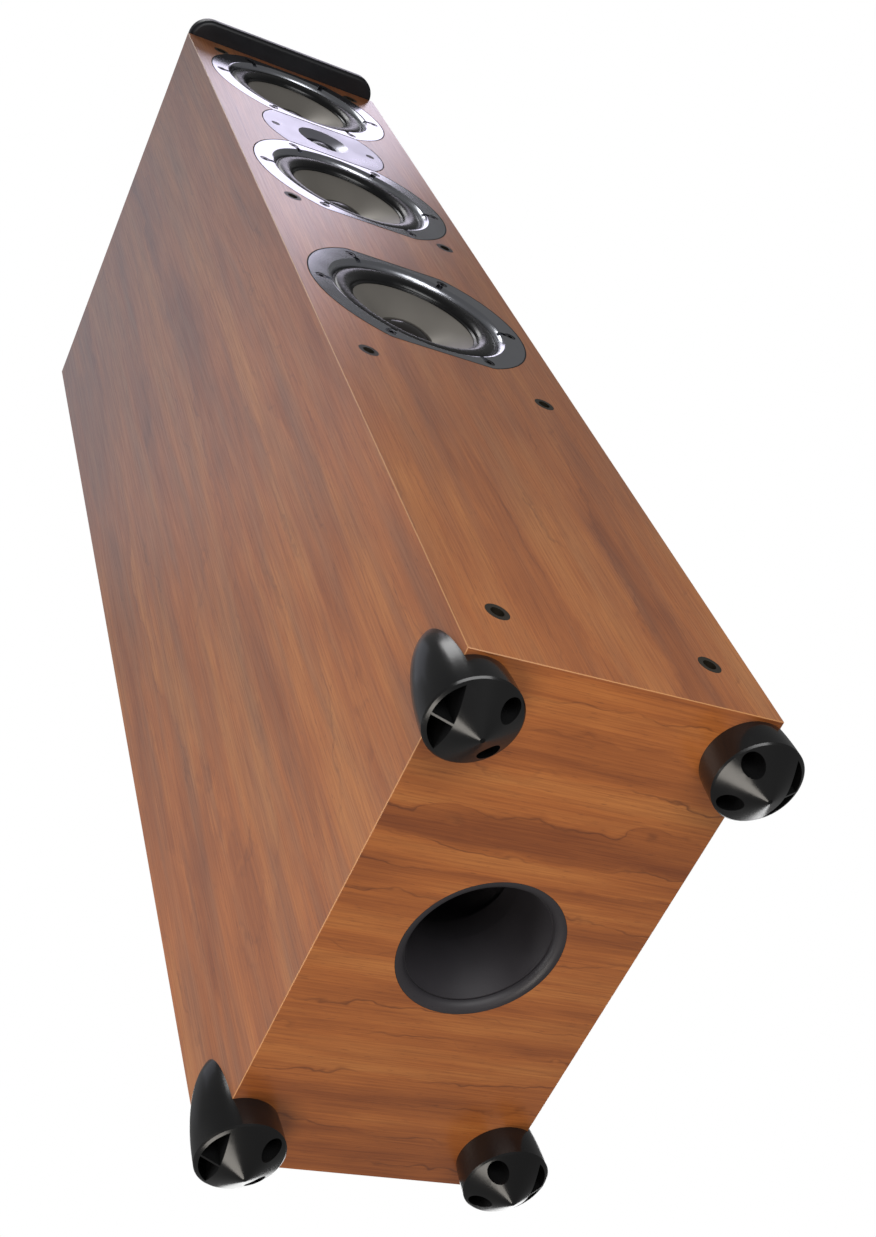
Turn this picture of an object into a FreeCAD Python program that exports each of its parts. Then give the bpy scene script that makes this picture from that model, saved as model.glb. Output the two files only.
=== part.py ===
import FreeCAD, Part
import math
import os

# A three-way floorstanding loudspeaker. The frame has +Z up, the front faces -Y and z = 0 is the floor
# under the feet's tips. Lengths are millimetres.
Vector = FreeCAD.Vector
tolerance = 1e-6
up = Vector(0, 0, 1)
inward = Vector(0, 1, 0)

# Cabinet: six mitred boards under a rounded cap
cabinetWidth = 200.0
cabinetDepth = 383.0
cabinetHeight = 1042.0
panelThickness = 18.0
edgeArris = 0.6
capThickness = 22.0
capOverhang = 18.5
capCornerRadius = 20.0
capTopRadius = 14.0
capBottomRadius = 4.0
capSideInset = 2.5
braceThickness = 15.0
braceOffsets = (-121.0, 111.0)
braceMargin = 30.0
braceCornerRadius = 24.0

# Feet: a moulded pot with a shallow cone beneath and a lobe that wraps up the cabinet's side
footRadius = 27.5
footInset = 11.0
footSetback = 29.0
footBodyHeight = 21.0
footConeHeight = 16.0
footTipRadius = 1.5
footRimChamfer = 1.0
footLobeHeight = 49.2
footPocketOffset = 14.2
footPocketDepth = 17.0
footWall = 2.6
footRibThickness = 1.3
footScrewCircle = 19.0
footScrewAngle = 45.0
footScrewWell = 6.6
footScrewFloor = 6.0

# Wood screws
screwClearance = 0.05
pilotSpare = 0.5
driveFloor = 0.5
footShankRadius = 2.1
footHeadRadius = 4.2
footHeadHeight = 3.0
footScrewGrip = 13.0
wooferShankRadius = 2.0
wooferHeadRadius = 3.9
wooferHeadHeight = 1.6
smallShankRadius = 1.6
smallHeadRadius = 3.2
smallHeadHeight = 1.8
smallScrewGrip = 11.0

# Grille sockets in the baffle: pairs in rows, by height above the cabinet's underside
socketFirstRow = 44.0
socketDrops = (682.0, 402.0, 24.0)
socketSpacing = 138.0
socketFlangeRadius = 7.5
socketFlange = 1.2
socketRadius = 6.2
socketBore = 4.2
socketDepth = 12.0
socketWall = 1.5

# Woofers: a flush cast frame whose rim is cut straight above and below
wooferSpacing = 238.0
tweeterDrop = 208.0
frameSeam = 0.3
frameRadius = 87.5
frameFlat = 77.4
frameThickness = 5.0
rebateGap = 0.3
rimInner = 73.5
lipRadius = 67.0
lipDepth = 4.6
ledgeRadius = 62.5
ledgeThickness = 2.2
basketRadius = 74.3
basketGap = 0.7
basketSkirt = 12.0
basketWall = 2.8
basketBackRadius = 50.0
basketSeatDepth = 50.0
basketSeatThickness = 3.0
basketSeatHole = 24.0
windowCount = 6
windowAngle = 40.0
windowMargin = 4.0
screwCircle = 79.0
screwWellRadius = 4.5
screwWellDepth = 1.8
screwSlotHalf = 2.4
screwDriveRadius = 1.9
screwCount = 6
screwHoleGap = 0.3
screwBackMargin = 2.0
screwMitreMargin = 1.0
spiderRadius = 54.0
spiderDepth = 37.0
spiderThickness = 0.7
spiderWave = 1.6
spiderShelf = 2.0
spiderLand = 4.0
spiderWaves = 3
surroundThickness = 0.8
surroundCrest = 2.6
surroundLand = 1.7
coneRadius = 51.0
coneEdgeDepth = 8.6
coneThickness = 0.9
coneNeckDepth = 24.5
coneFlare = 1.4
coneEdgeLand = 2.2
glueGap = 0.1
dustCapRadius = 20.8
dustCapCrown = 15.6
dustCapThickness = 0.9
coilRadius = 15.0
coilFormer = 0.4
coilWinding = 0.9
coilWindingLength = 11.0
coilTail = 1.0
magneticGap = 0.6
topPlateRadius = 45.0
topPlateThickness = 6.0
magnetRadius = 50.0
magnetHole = 27.0
magnetThickness = 16.0
yokeThickness = 6.0
poleVent = 5.0
tagWidth = 24.0
tagThickness = 5.0
tagInset = 0.5

# Tweeter: a silver plate with the same straight cuts, a shallow dish and a metal dome
plateRadius = 58.2
plateFlat = 41.2
plateThickness = 4.0
dishRadius = 24.3
dishThroat = 14.6
dishDepth = 5.4
dishHollow = 1.2
plateBossRadius = 34.5
plateBossDepth = 8.0
tweeterScrewOffset = 46.8
tweeterShankRadius = 1.75
tweeterHeadRadius = 3.9
tweeterHeadHeight = 2.2
tweeterScrewEnd = 15.0
domeRadius = 12.6
domeCrown = 3.4
domeThickness = 0.5
membraneThickness = 0.4
membraneLand = 18.0
membraneRise = 1.1
domeCoilWall = 0.3
domeWinding = 0.4
domeCoilLength = 6.5
domeGap = 0.4
domePlateRadius = 30.0
domePlateThickness = 4.0
domeMagnetRadius = 33.0
domeMagnetHole = 17.5
domeMagnetThickness = 10.0
domeYokeThickness = 4.0
rearCupWall = 2.0
rearCupGap = 0.4
tweeterCutGap = 0.8

# Reflex port in the cabinet's underside
portFlangeRadius = 51.0
portFlangeThickness = 2.0
portBodyRadius = 49.2
portLipRadius = 50.3
portSeamRadius = 44.7
portSeamDepth = 5.0
portSeamWidth = 0.6
portSeamInset = 0.7
portThroatRadius = 36.0
portFlareHeight = 46.0
portFlareHollow = 1.4
portWall = 2.5
portNeck = 16.0
portTubeLength = 150.0
portGap = 0.2

# Terminal cup in the back board
cupHeight = 120.0
cupWidth = 92.0
cupTall = 76.0
cupFlange = 9.0
cupFlangeThickness = 2.0
cupCornerRadius = 8.0
cupInnerRadius = 6.0
cupDepth = 30.0
cupWall = 2.5
cupGap = 0.4
postSpacing = 34.0
postRadius = 3.0
postSetback = 10.0
plugBoreRadius = 2.05
plugBoreDepth = 16.6
postBossRadius = 7.0
postBossHeight = 3.0
postTail = 9.0
postTailRadius = 2.6
nutAcross = 8.0
nutThickness = 3.2
collarRadius = 6.2
collarThickness = 1.5
knobRadius = 7.6
knobLength = 15.0
knobFlutes = 10
knobFluteRadius = 1.3
knobChamfer = 1.2
threadPlay = 0.06
knobPlay = 0.35
partingGap = 0.2

# Crossover on the back board's inner face
boardClearance = 6.0
boardWidth = 136.0
boardTall = 150.0
boardThickness = 2.0
boardScrewInset = 7.0
coilOuter = 24.0
coilInner = 11.0
coilHeight = 20.0
capacitorRadius = 9.0
capacitorLength = 42.0
resistorWidth = 10.0
resistorLength = 46.0
leadRadius = 2.0
bendShare = 0.45
leadSpacing = 6.0
leadRunDepth = 112.0
leadDrop = 36.0
waddingThickness = 45.0
waddingSideGap = 8.0
waddingClearance = 0.4
leadEndInset = 6.0
tweeterLeadDrop = 12.0
terminalLeadReach = 20.0

# Levels and planes that the rest is built on
cabinetBottom = footBodyHeight + footConeHeight
cabinetTop = cabinetBottom + cabinetHeight
halfWidth = cabinetWidth / 2
overallDepth = capOverhang + cabinetDepth + cupFlangeThickness
frontFace = capOverhang - overallDepth / 2
backFace = frontFace + cabinetDepth
baffleBack = frontFace + panelThickness
# a woofer's screw ends short of the baffle's back, and short of the mitre beside it
mitreDepth = halfWidth - screwCircle - wooferShankRadius
wooferScrewEnd = min(panelThickness - screwBackMargin, mitreDepth - screwMitreMargin)
backInner = backFace - panelThickness
cabinetMiddle = (frontFace + backFace) / 2
tweeterCentre = cabinetTop - tweeterDrop
wooferOffset = frameFlat + plateFlat + frameSeam
middleCentre = tweeterCentre - wooferOffset
wooferCentres = {
    "upper": tweeterCentre + wooferOffset,
    "middle": middleCentre,
    "lower": middleCentre - wooferSpacing,
}
socketRows = (cabinetBottom + socketFirstRow, *(cabinetTop - drop for drop in socketDrops))
braceLevels = tuple(wooferCentres["lower"] + offset for offset in braceOffsets)


def outline(start, steps, place):
    """A closed wire of lines and arcs. A step is a point, or a pair of an arc's middle and end."""
    edges = []
    here = start
    for step in steps + [start]:
        if isinstance(step[0], tuple):
            middle, end = step
            edges.append(Part.Arc(place(*here), place(*middle), place(*end)).toShape())
        else:
            end = step
            edges.append(Part.LineSegment(place(*here), place(*end)).toShape())
        here = end
    return Part.Wire(edges)


def turned(start, steps, centre, angle=360.0):
    """A piece turned about a driver's axis. Points are radius and depth behind the baffle's face."""
    wire = outline(start, steps, lambda radius, depth: Vector(radius, frontFace + depth, centre))
    return Part.Face(wire).revolve(Vector(0, frontFace, centre), inward, angle)


def raised(start, steps, x=0.0, y=0.0):
    """A piece turned about an upright axis. Points are radius and height above the floor."""
    wire = outline(start, steps, lambda radius, height: Vector(x + radius, y, height))
    return Part.Face(wire).revolve(Vector(x, y, 0), up, 360.0)


def quarterMiddle(start, end):
    """The middle of a quarter of an ellipse that leaves start level and reaches end upright."""
    bend = math.cos(math.radians(45))
    return (end[0] + (start[0] - end[0]) * (1 - bend), start[1] + (end[1] - start[1]) * (1 - bend))


def disc(radius, nearDepth, farDepth, centre, x=0.0):
    """A cylinder along a driver's axis between two depths."""
    base = Vector(x, frontFace + nearDepth, centre)
    return Part.makeCylinder(radius, farDepth - nearDepth, base, inward)


def ring(outer, inner, nearDepth, farDepth, centre):
    return disc(outer, nearDepth, farDepth, centre).cut(disc(inner, nearDepth, farDepth, centre))


def block(xSize, ySize, zSize, x, y, z):
    """A box centred on x, with its low corner at y and z."""
    return Part.makeBox(xSize, ySize, zSize, Vector(x - xSize / 2, y, z))


def upright(radius, low, high, x, y):
    return Part.makeCylinder(radius, high - low, Vector(x, y, low), up)


def around(shape, centre, angle):
    """A copy turned about a driver's axis."""
    copy = shape.copy()
    copy.rotate(Vector(0, frontFace, centre), inward, angle)
    return copy


def arcMiddle(radius, base, crown):
    """The middle point of the circular arc from a dome's rim to its crown."""
    rise = base - crown
    sphere = (radius ** 2 + rise ** 2) / (2 * rise)
    half = math.asin(radius / sphere) / 2
    return (sphere * math.sin(half), crown + sphere - sphere * math.cos(half))


def fused(shapes):
    result = shapes[0]
    for shape in shapes[1:]:
        result = result.fuse(shape)
    return result.removeSplitter()


def save(name, *shapes):
    shape = shapes[0] if len(shapes) == 1 else Part.makeCompound(list(shapes))
    shape.exportStep(os.path.join("parts", name + ".step"))


# ---- cabinet ----

def board(corner, across, along, thickness, inside):
    """One mitred board: a rectangle whose edges slope in at 45 degrees, with a fine chamfer outside."""
    ends = [corner, corner + across, corner + across + along, corner + along]
    cross = Vector(across).normalize()
    rise = Vector(along).normalize()
    turns = [cross + rise, rise - cross, Vector(0, 0, 0) - cross - rise, cross - rise]
    wires = []
    for inset, depth in ((edgeArris, 0.0), (edgeArris / 2, edgeArris / 2), (thickness, thickness)):
        points = [end + turn * inset + inside * depth for end, turn in zip(ends, turns)]
        wires.append(Part.makePolygon(points + [points[0]]))
    return Part.makeLoft(wires, True, True)


def socketPlaces():
    for row in socketRows:
        for side in (-1, 1):
            yield side * socketSpacing / 2, row


def truncatedDisc(radius, flat, depth, centre):
    """A disc from the baffle's face inwards, cut straight above and below."""
    keep = block(2 * radius, depth, 2 * flat, 0, frontFace, centre - flat)
    return disc(radius, 0, depth, centre).common(keep)


def screwAngles():
    return [360.0 * index / screwCount for index in range(screwCount)]


def makeBaffle():
    across = Vector(cabinetWidth, 0, 0)
    along = Vector(0, 0, cabinetHeight)
    corner = Vector(-halfWidth, frontFace, cabinetBottom)
    baffle = board(corner, across, along, panelThickness, inward)
    cuts = []
    for centre in wooferCentres.values():
        cuts.append(truncatedDisc(frameRadius + rebateGap, frameFlat + rebateGap, frameThickness, centre))
        cuts.append(disc(basketRadius + basketGap, 0, panelThickness, centre))
        hole = disc(wooferShankRadius + screwClearance, 0, wooferScrewEnd + pilotSpare, centre, screwCircle)
        cuts += [around(hole, centre, angle) for angle in screwAngles()]
    cuts.append(truncatedDisc(plateRadius + rebateGap, plateFlat + rebateGap, plateThickness, tweeterCentre))
    cuts.append(disc(rearCupRadius() + tweeterCutGap, 0, panelThickness, tweeterCentre))
    for side in (-1, 1):
        radius = tweeterShankRadius + screwClearance
        depth = tweeterScrewEnd + pilotSpare
        cuts.append(disc(radius, 0, depth, tweeterCentre, side * tweeterScrewOffset))
    for x, z in socketPlaces():
        cuts.append(disc(socketFlangeRadius + screwClearance, 0, socketFlange, z, x))
        cuts.append(disc(socketRadius + screwClearance, 0, socketDepth + screwClearance, z, x))
    return baffle.cut(Part.makeCompound(cuts))


def rearCupRadius():
    return plateBossRadius + rearCupGap + rearCupWall


def footPlaces():
    """Side (+1 right, -1 left) and position of each foot's upright axis."""
    names = {(-1, -1): "front_left", (1, -1): "front_right", (-1, 1): "rear_left", (1, 1): "rear_right"}
    for (side, end), name in names.items():
        y = cabinetMiddle + end * (cabinetDepth / 2 - footSetback)
        yield name, side, side * (halfWidth - footInset), y


def footScrewPlaces():
    for _, side, x, y in footPlaces():
        for turn in (-footScrewAngle, footScrewAngle):
            yield (
                x - side * footScrewCircle * math.cos(math.radians(turn)),
                y + footScrewCircle * math.sin(math.radians(turn)),
            )


def makeBottom():
    across = Vector(cabinetWidth, 0, 0)
    along = Vector(0, cabinetDepth, 0)
    corner = Vector(-halfWidth, frontFace, cabinetBottom)
    bottom = board(corner, across, along, panelThickness, up)
    low = cabinetBottom
    cuts = [
        upright(portFlangeRadius + portGap, low, low + portFlangeThickness, 0, cabinetMiddle),
        upright(portBodyRadius + portGap, low, low + panelThickness, 0, cabinetMiddle),
    ]
    for x, y in footScrewPlaces():
        radius = footShankRadius + screwClearance
        cuts.append(upright(radius, low, low + footScrewGrip + pilotSpare, x, y))
    return bottom.cut(Part.makeCompound(cuts))


def cupCentre():
    return cabinetBottom + cupHeight


def cornerPlaces(width, height, centreZ):
    for side in (-1, 1):
        for end in (-1, 1):
            yield side * width / 2, centreZ + end * height / 2


def cupScrewPlaces():
    return cornerPlaces(cupWidth - cupFlange, cupTall - cupFlange, cupCentre())


def boardCentre():
    return cupCentre() + cupBodySize()[1] / 2 + boardClearance + boardTall / 2


def boardScrewPlaces():
    inset = 2 * boardScrewInset
    return cornerPlaces(boardWidth - inset, boardTall - inset, boardCentre())


def roundedBlock(width, depth, height, y, centreZ, radius):
    """A slab in the back board's plane with its four corners rounded."""
    slab = block(width, depth, height, 0, y, centreZ - height / 2)
    return slab.makeFillet(radius, [edge for edge in slab.Edges if runsAlong(edge, inward)])


def runsAlong(edge, direction):
    """Whether a straight edge is parallel to a direction."""
    run = edge.Vertexes[-1].Point - edge.Vertexes[0].Point
    return run.cross(direction).Length < tolerance


def cupBodySize():
    return cupWidth - 2 * cupFlange, cupTall - 2 * cupFlange


def makeBack():
    across = Vector(cabinetWidth, 0, 0)
    along = Vector(0, 0, cabinetHeight)
    corner = Vector(-halfWidth, backFace, cabinetBottom)
    back = board(corner, across, along, panelThickness, inward * -1)
    width, height = [size + 2 * cupGap for size in cupBodySize()]
    cuts = [roundedBlock(width, panelThickness, height, backInner, cupCentre(), cupInnerRadius)]
    radius = smallShankRadius + screwClearance
    depth = smallScrewGrip + pilotSpare
    for x, z in cupScrewPlaces():
        cuts.append(Part.makeCylinder(radius, depth, Vector(x, backFace - depth, z), inward))
    for x, z in boardScrewPlaces():
        cuts.append(Part.makeCylinder(radius, depth, Vector(x, backInner, z), inward))
    return back.cut(Part.makeCompound(cuts))


def makeSide(side):
    across = Vector(0, cabinetDepth, 0)
    along = Vector(0, 0, cabinetHeight)
    corner = Vector(side * halfWidth, frontFace, cabinetBottom)
    return board(corner, across, along, panelThickness, Vector(-side, 0, 0))


def makeTop():
    across = Vector(cabinetWidth, 0, 0)
    along = Vector(0, cabinetDepth, 0)
    corner = Vector(-halfWidth, frontFace, cabinetTop)
    return board(corner, across, along, panelThickness, up * -1)


def makeBrace(low):
    """A shelf with a rounded window, glued between the four upright boards."""
    width = cabinetWidth - 2 * panelThickness
    depth = cabinetDepth - 2 * panelThickness
    shelf = block(width, depth, braceThickness, 0, baffleBack, low)
    margin = 2 * braceMargin
    window = block(width - margin, depth - margin, braceThickness, 0, baffleBack + braceMargin, low)
    corners = [edge for edge in window.Edges if runsAlong(edge, up)]
    return shelf.cut(window.makeFillet(braceCornerRadius, corners))


def makeCap():
    """A slab that overhangs the front, rounded in plan at the front and over every edge."""
    width = cabinetWidth - 2 * capSideInset
    depth = cabinetDepth + capOverhang
    nose = frontFace - capOverhang
    slab = block(width, depth, capThickness, 0, nose, cabinetTop)
    corners = [edge for edge in slab.Edges if runsAlong(edge, up) and edge.BoundBox.YMax < cabinetMiddle]
    slab = slab.makeFillet(capCornerRadius, corners)
    top = [edge for edge in slab.Edges if edge.BoundBox.ZMin > cabinetTop + capThickness - tolerance]
    slab = slab.makeFillet(capTopRadius, top)
    under = [edge for edge in slab.Edges if edge.BoundBox.ZMax < cabinetTop + tolerance]
    return slab.makeFillet(capBottomRadius, [edge for edge in under if edge.BoundBox.YMin < cabinetMiddle])


def makeFoot(side, x, y):
    rim = footConeHeight + footRimChamfer
    rise = cabinetBottom + footLobeHeight - rim
    crown = Vector(x, y, rim + rise / math.sqrt(1 - (footInset / footRadius) ** 2))
    corners = [
        (0.0, 0.0),
        (footTipRadius, 0.0),
        (footRadius - footRimChamfer, footConeHeight),
        (footRadius, rim),
    ]
    points = [Vector(x + radius, y, height) for radius, height in corners]
    edges = [Part.LineSegment(a, b).toShape() for a, b in zip(points, points[1:])]
    edges += [lobeArc(crown, points[-1]), Part.LineSegment(crown, points[0]).toShape()]
    foot = Part.Face(Part.Wire(edges)).revolve(points[0], up, 360.0)
    reach = 2 * footRadius
    inside = block(reach, 2 * reach, 2 * reach, side * (halfWidth - reach / 2), y - reach, cabinetBottom)
    foot = foot.cut(inside)
    pocketRadius = footRadius - footWall
    pocket = upright(pocketRadius, 0, footConeHeight + footPocketDepth, x, y)
    beyond = block(reach, 2 * reach, 2 * reach, x + side * (footPocketOffset + reach / 2), y - reach, 0)
    rib = block(reach, footRibThickness, 2 * reach, x + side * reach / 2, y - footRibThickness / 2, 0)
    foot = foot.cut(pocket.common(beyond).cut(rib))
    wellTop = cabinetBottom - footScrewFloor
    for turn in (-footScrewAngle, footScrewAngle):
        holeX = x - side * footScrewCircle * math.cos(math.radians(turn))
        holeY = y + footScrewCircle * math.sin(math.radians(turn))
        foot = foot.cut(upright(footScrewWell, 0, wellTop, holeX, holeY))
        foot = foot.cut(upright(footShankRadius + screwHoleGap, wellTop, cabinetBottom, holeX, holeY))
    return foot


def lobeArc(crown, side):
    """The quarter of an ellipse from a foot's crown down to its rim."""
    centre = Vector(crown.x, crown.y, side.z)
    ellipse = Part.Ellipse(crown, side, centre)
    quarters = [Part.ArcOfEllipse(ellipse, 0, math.pi / 2), Part.ArcOfEllipse(ellipse, -math.pi / 2, 0)]
    return min((arc.toShape() for arc in quarters), key=lambda edge: edge.distToShape(Part.Vertex(side))[0])


def upScrew(headRadius, headHeight, shankRadius, seat, tip, x, y):
    """A screw driven upwards, with its head under the seat."""
    head = upright(headRadius, seat - headHeight, seat, x, y)
    return head.fuse(upright(shankRadius, seat, tip, x, y))


def makeSocket(x, z):
    flange = disc(socketFlangeRadius, 0, socketFlange, z, x)
    body = disc(socketRadius, 0, socketDepth, z, x)
    bore = disc(socketBore, 0, socketDepth - socketWall, z, x)
    return flange.fuse(body).cut(bore)


# ---- reflex port ----

def makePortFlare():
    """The moulded mouth: a flange let into the underside, a rounded lip, a seam and a long flare."""
    low = cabinetBottom
    throat = low + portFlareHeight
    outerThroat = portThroatRadius + portWall
    seam = low + portSeamDepth
    lip = (portLipRadius, low)
    lipEnd = (portSeamRadius, seam)
    flareStart = (portSeamRadius - portSeamInset, seam + portSeamWidth)
    flareMiddle = (
        (flareStart[0] + portThroatRadius) / 2 - portFlareHollow,
        (flareStart[1] + throat) / 2,
    )
    steps = [
        (flareMiddle, flareStart),
        (portSeamRadius + portSeamInset, flareStart[1]),
        (portSeamRadius + portSeamInset, seam),
        lipEnd,
        (quarterMiddle(lip, lipEnd), lip),
        (portFlangeRadius, low),
        (portFlangeRadius, low + portFlangeThickness),
        (portBodyRadius, low + portFlangeThickness),
        (portBodyRadius, flareStart[1] + portWall),
        (outerThroat + portWall, throat),
        (outerThroat + portWall, throat + portWall),
        (outerThroat, throat + portWall),
        (outerThroat, throat + portNeck),
        (portThroatRadius, throat + portNeck),
    ]
    return raised((portThroatRadius, throat), steps, 0, cabinetMiddle)


def makePortTube():
    low = cabinetBottom + portFlareHeight + portWall + portGap
    inner = portThroatRadius + portWall + portGap / 2
    tube = upright(inner + portWall, low, low + portTubeLength, 0, cabinetMiddle)
    return tube.cut(upright(inner, low, low + portTubeLength, 0, cabinetMiddle))


# ---- woofers ----

def coneMiddle(shift):
    """The middle of the cone's flared profile, a little above the straight line from neck to edge."""
    neck = coilRadius + coilFormer + partingGap
    edge = coneRadius - coneEdgeLand
    return ((neck + edge) / 2, (coneNeckDepth + coneEdgeDepth) / 2 - coneFlare + shift)


def makeBasket(centre):
    """The cast frame: rim, funnel, surround ledge, spoked cone, spider shelf and motor seat."""
    skirtInner = basketRadius - basketWall
    ledge = lipDepth + surroundThickness + 2 * glueGap
    seatEnd = basketSeatDepth + basketSeatThickness
    rim = (rimInner, 0.0)
    lip = (lipRadius, lipDepth)
    steps = [
        (quarterMiddle(rim, lip), rim),
        (frameRadius, 0.0),
        (frameRadius, frameThickness),
        (basketRadius, frameThickness),
        (basketRadius, basketSkirt),
        (basketBackRadius, basketSeatDepth),
        (basketBackRadius, seatEnd),
        (basketSeatHole, seatEnd),
        (basketSeatHole, basketSeatDepth),
        (basketBackRadius - basketWall, basketSeatDepth),
        (skirtInner, basketSkirt),
        (skirtInner, ledge + ledgeThickness),
        (ledgeRadius, ledge + ledgeThickness),
        (ledgeRadius, ledge),
        (lipRadius, ledge),
    ]
    basket = turned(lip, steps, centre)
    keep = block(2 * frameRadius, seatEnd, 2 * frameFlat, 0, frontFace, centre - frameFlat)
    basket = basket.common(keep)
    basket = basket.cut(Part.makeCompound(basketWindows(centre)))
    shelfRadius = spiderRadius + basketWall
    shelfFront = spiderDepth + spiderThickness + glueGap
    shelf = ring(shelfRadius, spiderRadius - spiderLand, shelfFront, shelfFront + spiderShelf, centre)
    return fused([basket, shelf]).cut(Part.makeCompound(rimCuts(centre)))


def basketWindows(centre):
    """Openings between the spokes. Each is a slice of a ring that spans the cast wall."""
    nearDepth = basketSkirt + windowMargin
    farDepth = basketSeatDepth - windowMargin
    inner = basketBackRadius - 2 * basketWall
    steps = [(basketRadius, nearDepth), (basketRadius, farDepth), (inner, farDepth)]
    window = turned((inner, nearDepth), steps, centre, windowAngle)
    pitch = 360.0 / windowCount
    start = (pitch - windowAngle) / 2
    return [around(window, centre, start + index * pitch) for index in range(windowCount)]


def rimCuts(centre):
    """A well for each screw's head, open towards the funnel, and the hole under it."""
    well = disc(screwWellRadius, 0, screwWellDepth, centre, screwCircle)
    length = screwCircle - lipRadius
    x = screwCircle - length / 2
    slot = block(length, screwWellDepth, 2 * screwSlotHalf, x, frontFace, centre - screwSlotHalf)
    hole = disc(wooferShankRadius + screwHoleGap, 0, frameThickness, centre, screwCircle)
    cutter = well.fuse(slot).fuse(hole)
    return [around(cutter, centre, angle) for angle in screwAngles()]


def makeSurround(centre):
    """A shallow rubber roll between the frame's ledge and the cone's edge."""
    thick = surroundThickness
    front = lipDepth + glueGap
    outer = lipRadius - partingGap
    coneFront = coneEdgeDepth - glueGap - thick
    coneInner = coneRadius - coneEdgeLand
    crestRadius = (outer + coneRadius) / 2
    steps = [
        ((crestRadius, surroundCrest), (coneRadius + partingGap, coneFront)),
        (coneInner, coneFront),
        (coneInner, coneFront + thick),
        (coneRadius + 2 * partingGap, coneFront + thick),
        ((crestRadius, surroundCrest + thick), (outer - surroundLand - partingGap, front + thick)),
        (outer, front + thick),
        (outer, front),
    ]
    return turned((outer - surroundLand, front), steps, centre)


def makeSpider(centre):
    """The corrugated suspension that centres the coil."""
    inner = coilRadius + coilFormer + partingGap
    near = spiderDepth
    span = spiderRadius - spiderLand - inner - spiderLand
    count = 2 * spiderWaves
    radii = [inner, inner + spiderLand]
    radii += [inner + spiderLand + span * (index + 0.5) / count for index in range(count)]
    radii += [spiderRadius - spiderLand, spiderRadius]
    heights = [near, near]
    heights += [near - spiderWave if index % 2 else near + spiderWave for index in range(count)]
    heights += [near, near]
    front = list(zip(radii, heights))
    back = [(radius, depth + spiderThickness) for radius, depth in reversed(front)]
    return turned(front[0], front[1:] + back, centre)


def makeCone(centre):
    neck = coilRadius + coilFormer + partingGap
    land = coneRadius - coneEdgeLand
    steps = [
        (coneMiddle(0), (land, coneEdgeDepth)),
        (coneRadius, coneEdgeDepth),
        (coneRadius, coneEdgeDepth + coneThickness),
        (land + partingGap, coneEdgeDepth + coneThickness),
        (coneMiddle(coneThickness), (neck, coneNeckDepth + coneThickness)),
    ]
    return turned((neck, coneNeckDepth), steps, centre)


def domeShell(radius, base, crown, thickness, centre):
    """A spherical cap of even thickness with a flat rim."""
    inner = radius - thickness
    outerMiddle = arcMiddle(radius, base, crown)
    innerMiddle = arcMiddle(inner, base, crown + thickness)
    steps = [(outerMiddle, (0.0, crown)), (0.0, crown + thickness), (innerMiddle, (inner, base))]
    return turned((radius, base), steps, centre)


def makeDustCap(centre):
    neck = coilRadius + coilFormer + partingGap
    along = (dustCapRadius - neck) / (coneRadius - coneEdgeLand - neck)
    straight = coneNeckDepth + (coneEdgeDepth - coneNeckDepth) * along
    rim = straight - 4 * coneFlare * along * (1 - along) - 2 * glueGap
    return domeShell(dustCapRadius, rim, dustCapCrown, dustCapThickness, centre)


def gapMiddle():
    """The depth of the middle of the magnetic gap."""
    return basketSeatDepth + basketSeatThickness + topPlateThickness / 2


def makeCoil(centre):
    """A former with its winding, one solid, centred in the magnetic gap."""
    former = coilRadius + coilFormer
    half = coilWindingLength / 2
    steps = [
        (former, coneNeckDepth),
        (former, gapMiddle() - half),
        (former + coilWinding, gapMiddle() - half),
        (former + coilWinding, gapMiddle() + half),
        (former, gapMiddle() + half),
        (former, gapMiddle() + half + coilTail),
        (coilRadius, gapMiddle() + half + coilTail),
    ]
    return turned((coilRadius, coneNeckDepth), steps, centre)


def topPlateSpan():
    near = basketSeatDepth + basketSeatThickness
    return near, near + topPlateThickness


def makeTopPlate(centre):
    near, far = topPlateSpan()
    return ring(topPlateRadius, coilRadius + coilFormer + coilWinding + magneticGap, near, far, centre)


def makeMagnet(centre):
    near = topPlateSpan()[1]
    return ring(magnetRadius, magnetHole, near, near + magnetThickness, centre)


def makeYoke(centre):
    """The back plate and the pole that reaches into the coil, vented along its axis."""
    plate = topPlateSpan()[1] + magnetThickness
    pole = coilRadius - magneticGap
    steps = [
        (pole, plate),
        (topPlateRadius, plate),
        (topPlateRadius, plate + yokeThickness),
        (poleVent, plate + yokeThickness),
        (poleVent, topPlateSpan()[0]),
    ]
    return turned((pole, topPlateSpan()[0]), steps, centre)


def makeTag(centre):
    """The solder block on the back of the basket's seat."""
    seatEnd = basketSeatDepth + basketSeatThickness
    low = centre - basketBackRadius + tagInset
    height = basketBackRadius - topPlateRadius - 2 * tagInset
    return block(tagWidth, tagThickness, height, 0, frontFace + seatEnd, low)


def wooferScrews(centre):
    near = screwWellDepth - wooferHeadHeight
    head = disc(wooferHeadRadius, near, screwWellDepth, centre, screwCircle)
    shank = disc(wooferShankRadius, screwWellDepth, wooferScrewEnd, centre, screwCircle)
    drive = disc(screwDriveRadius, near, screwWellDepth - driveFloor, centre, screwCircle)
    screw = head.fuse(shank).cut(drive)
    return [around(screw, centre, angle) for angle in screwAngles()]


# ---- tweeter ----

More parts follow.
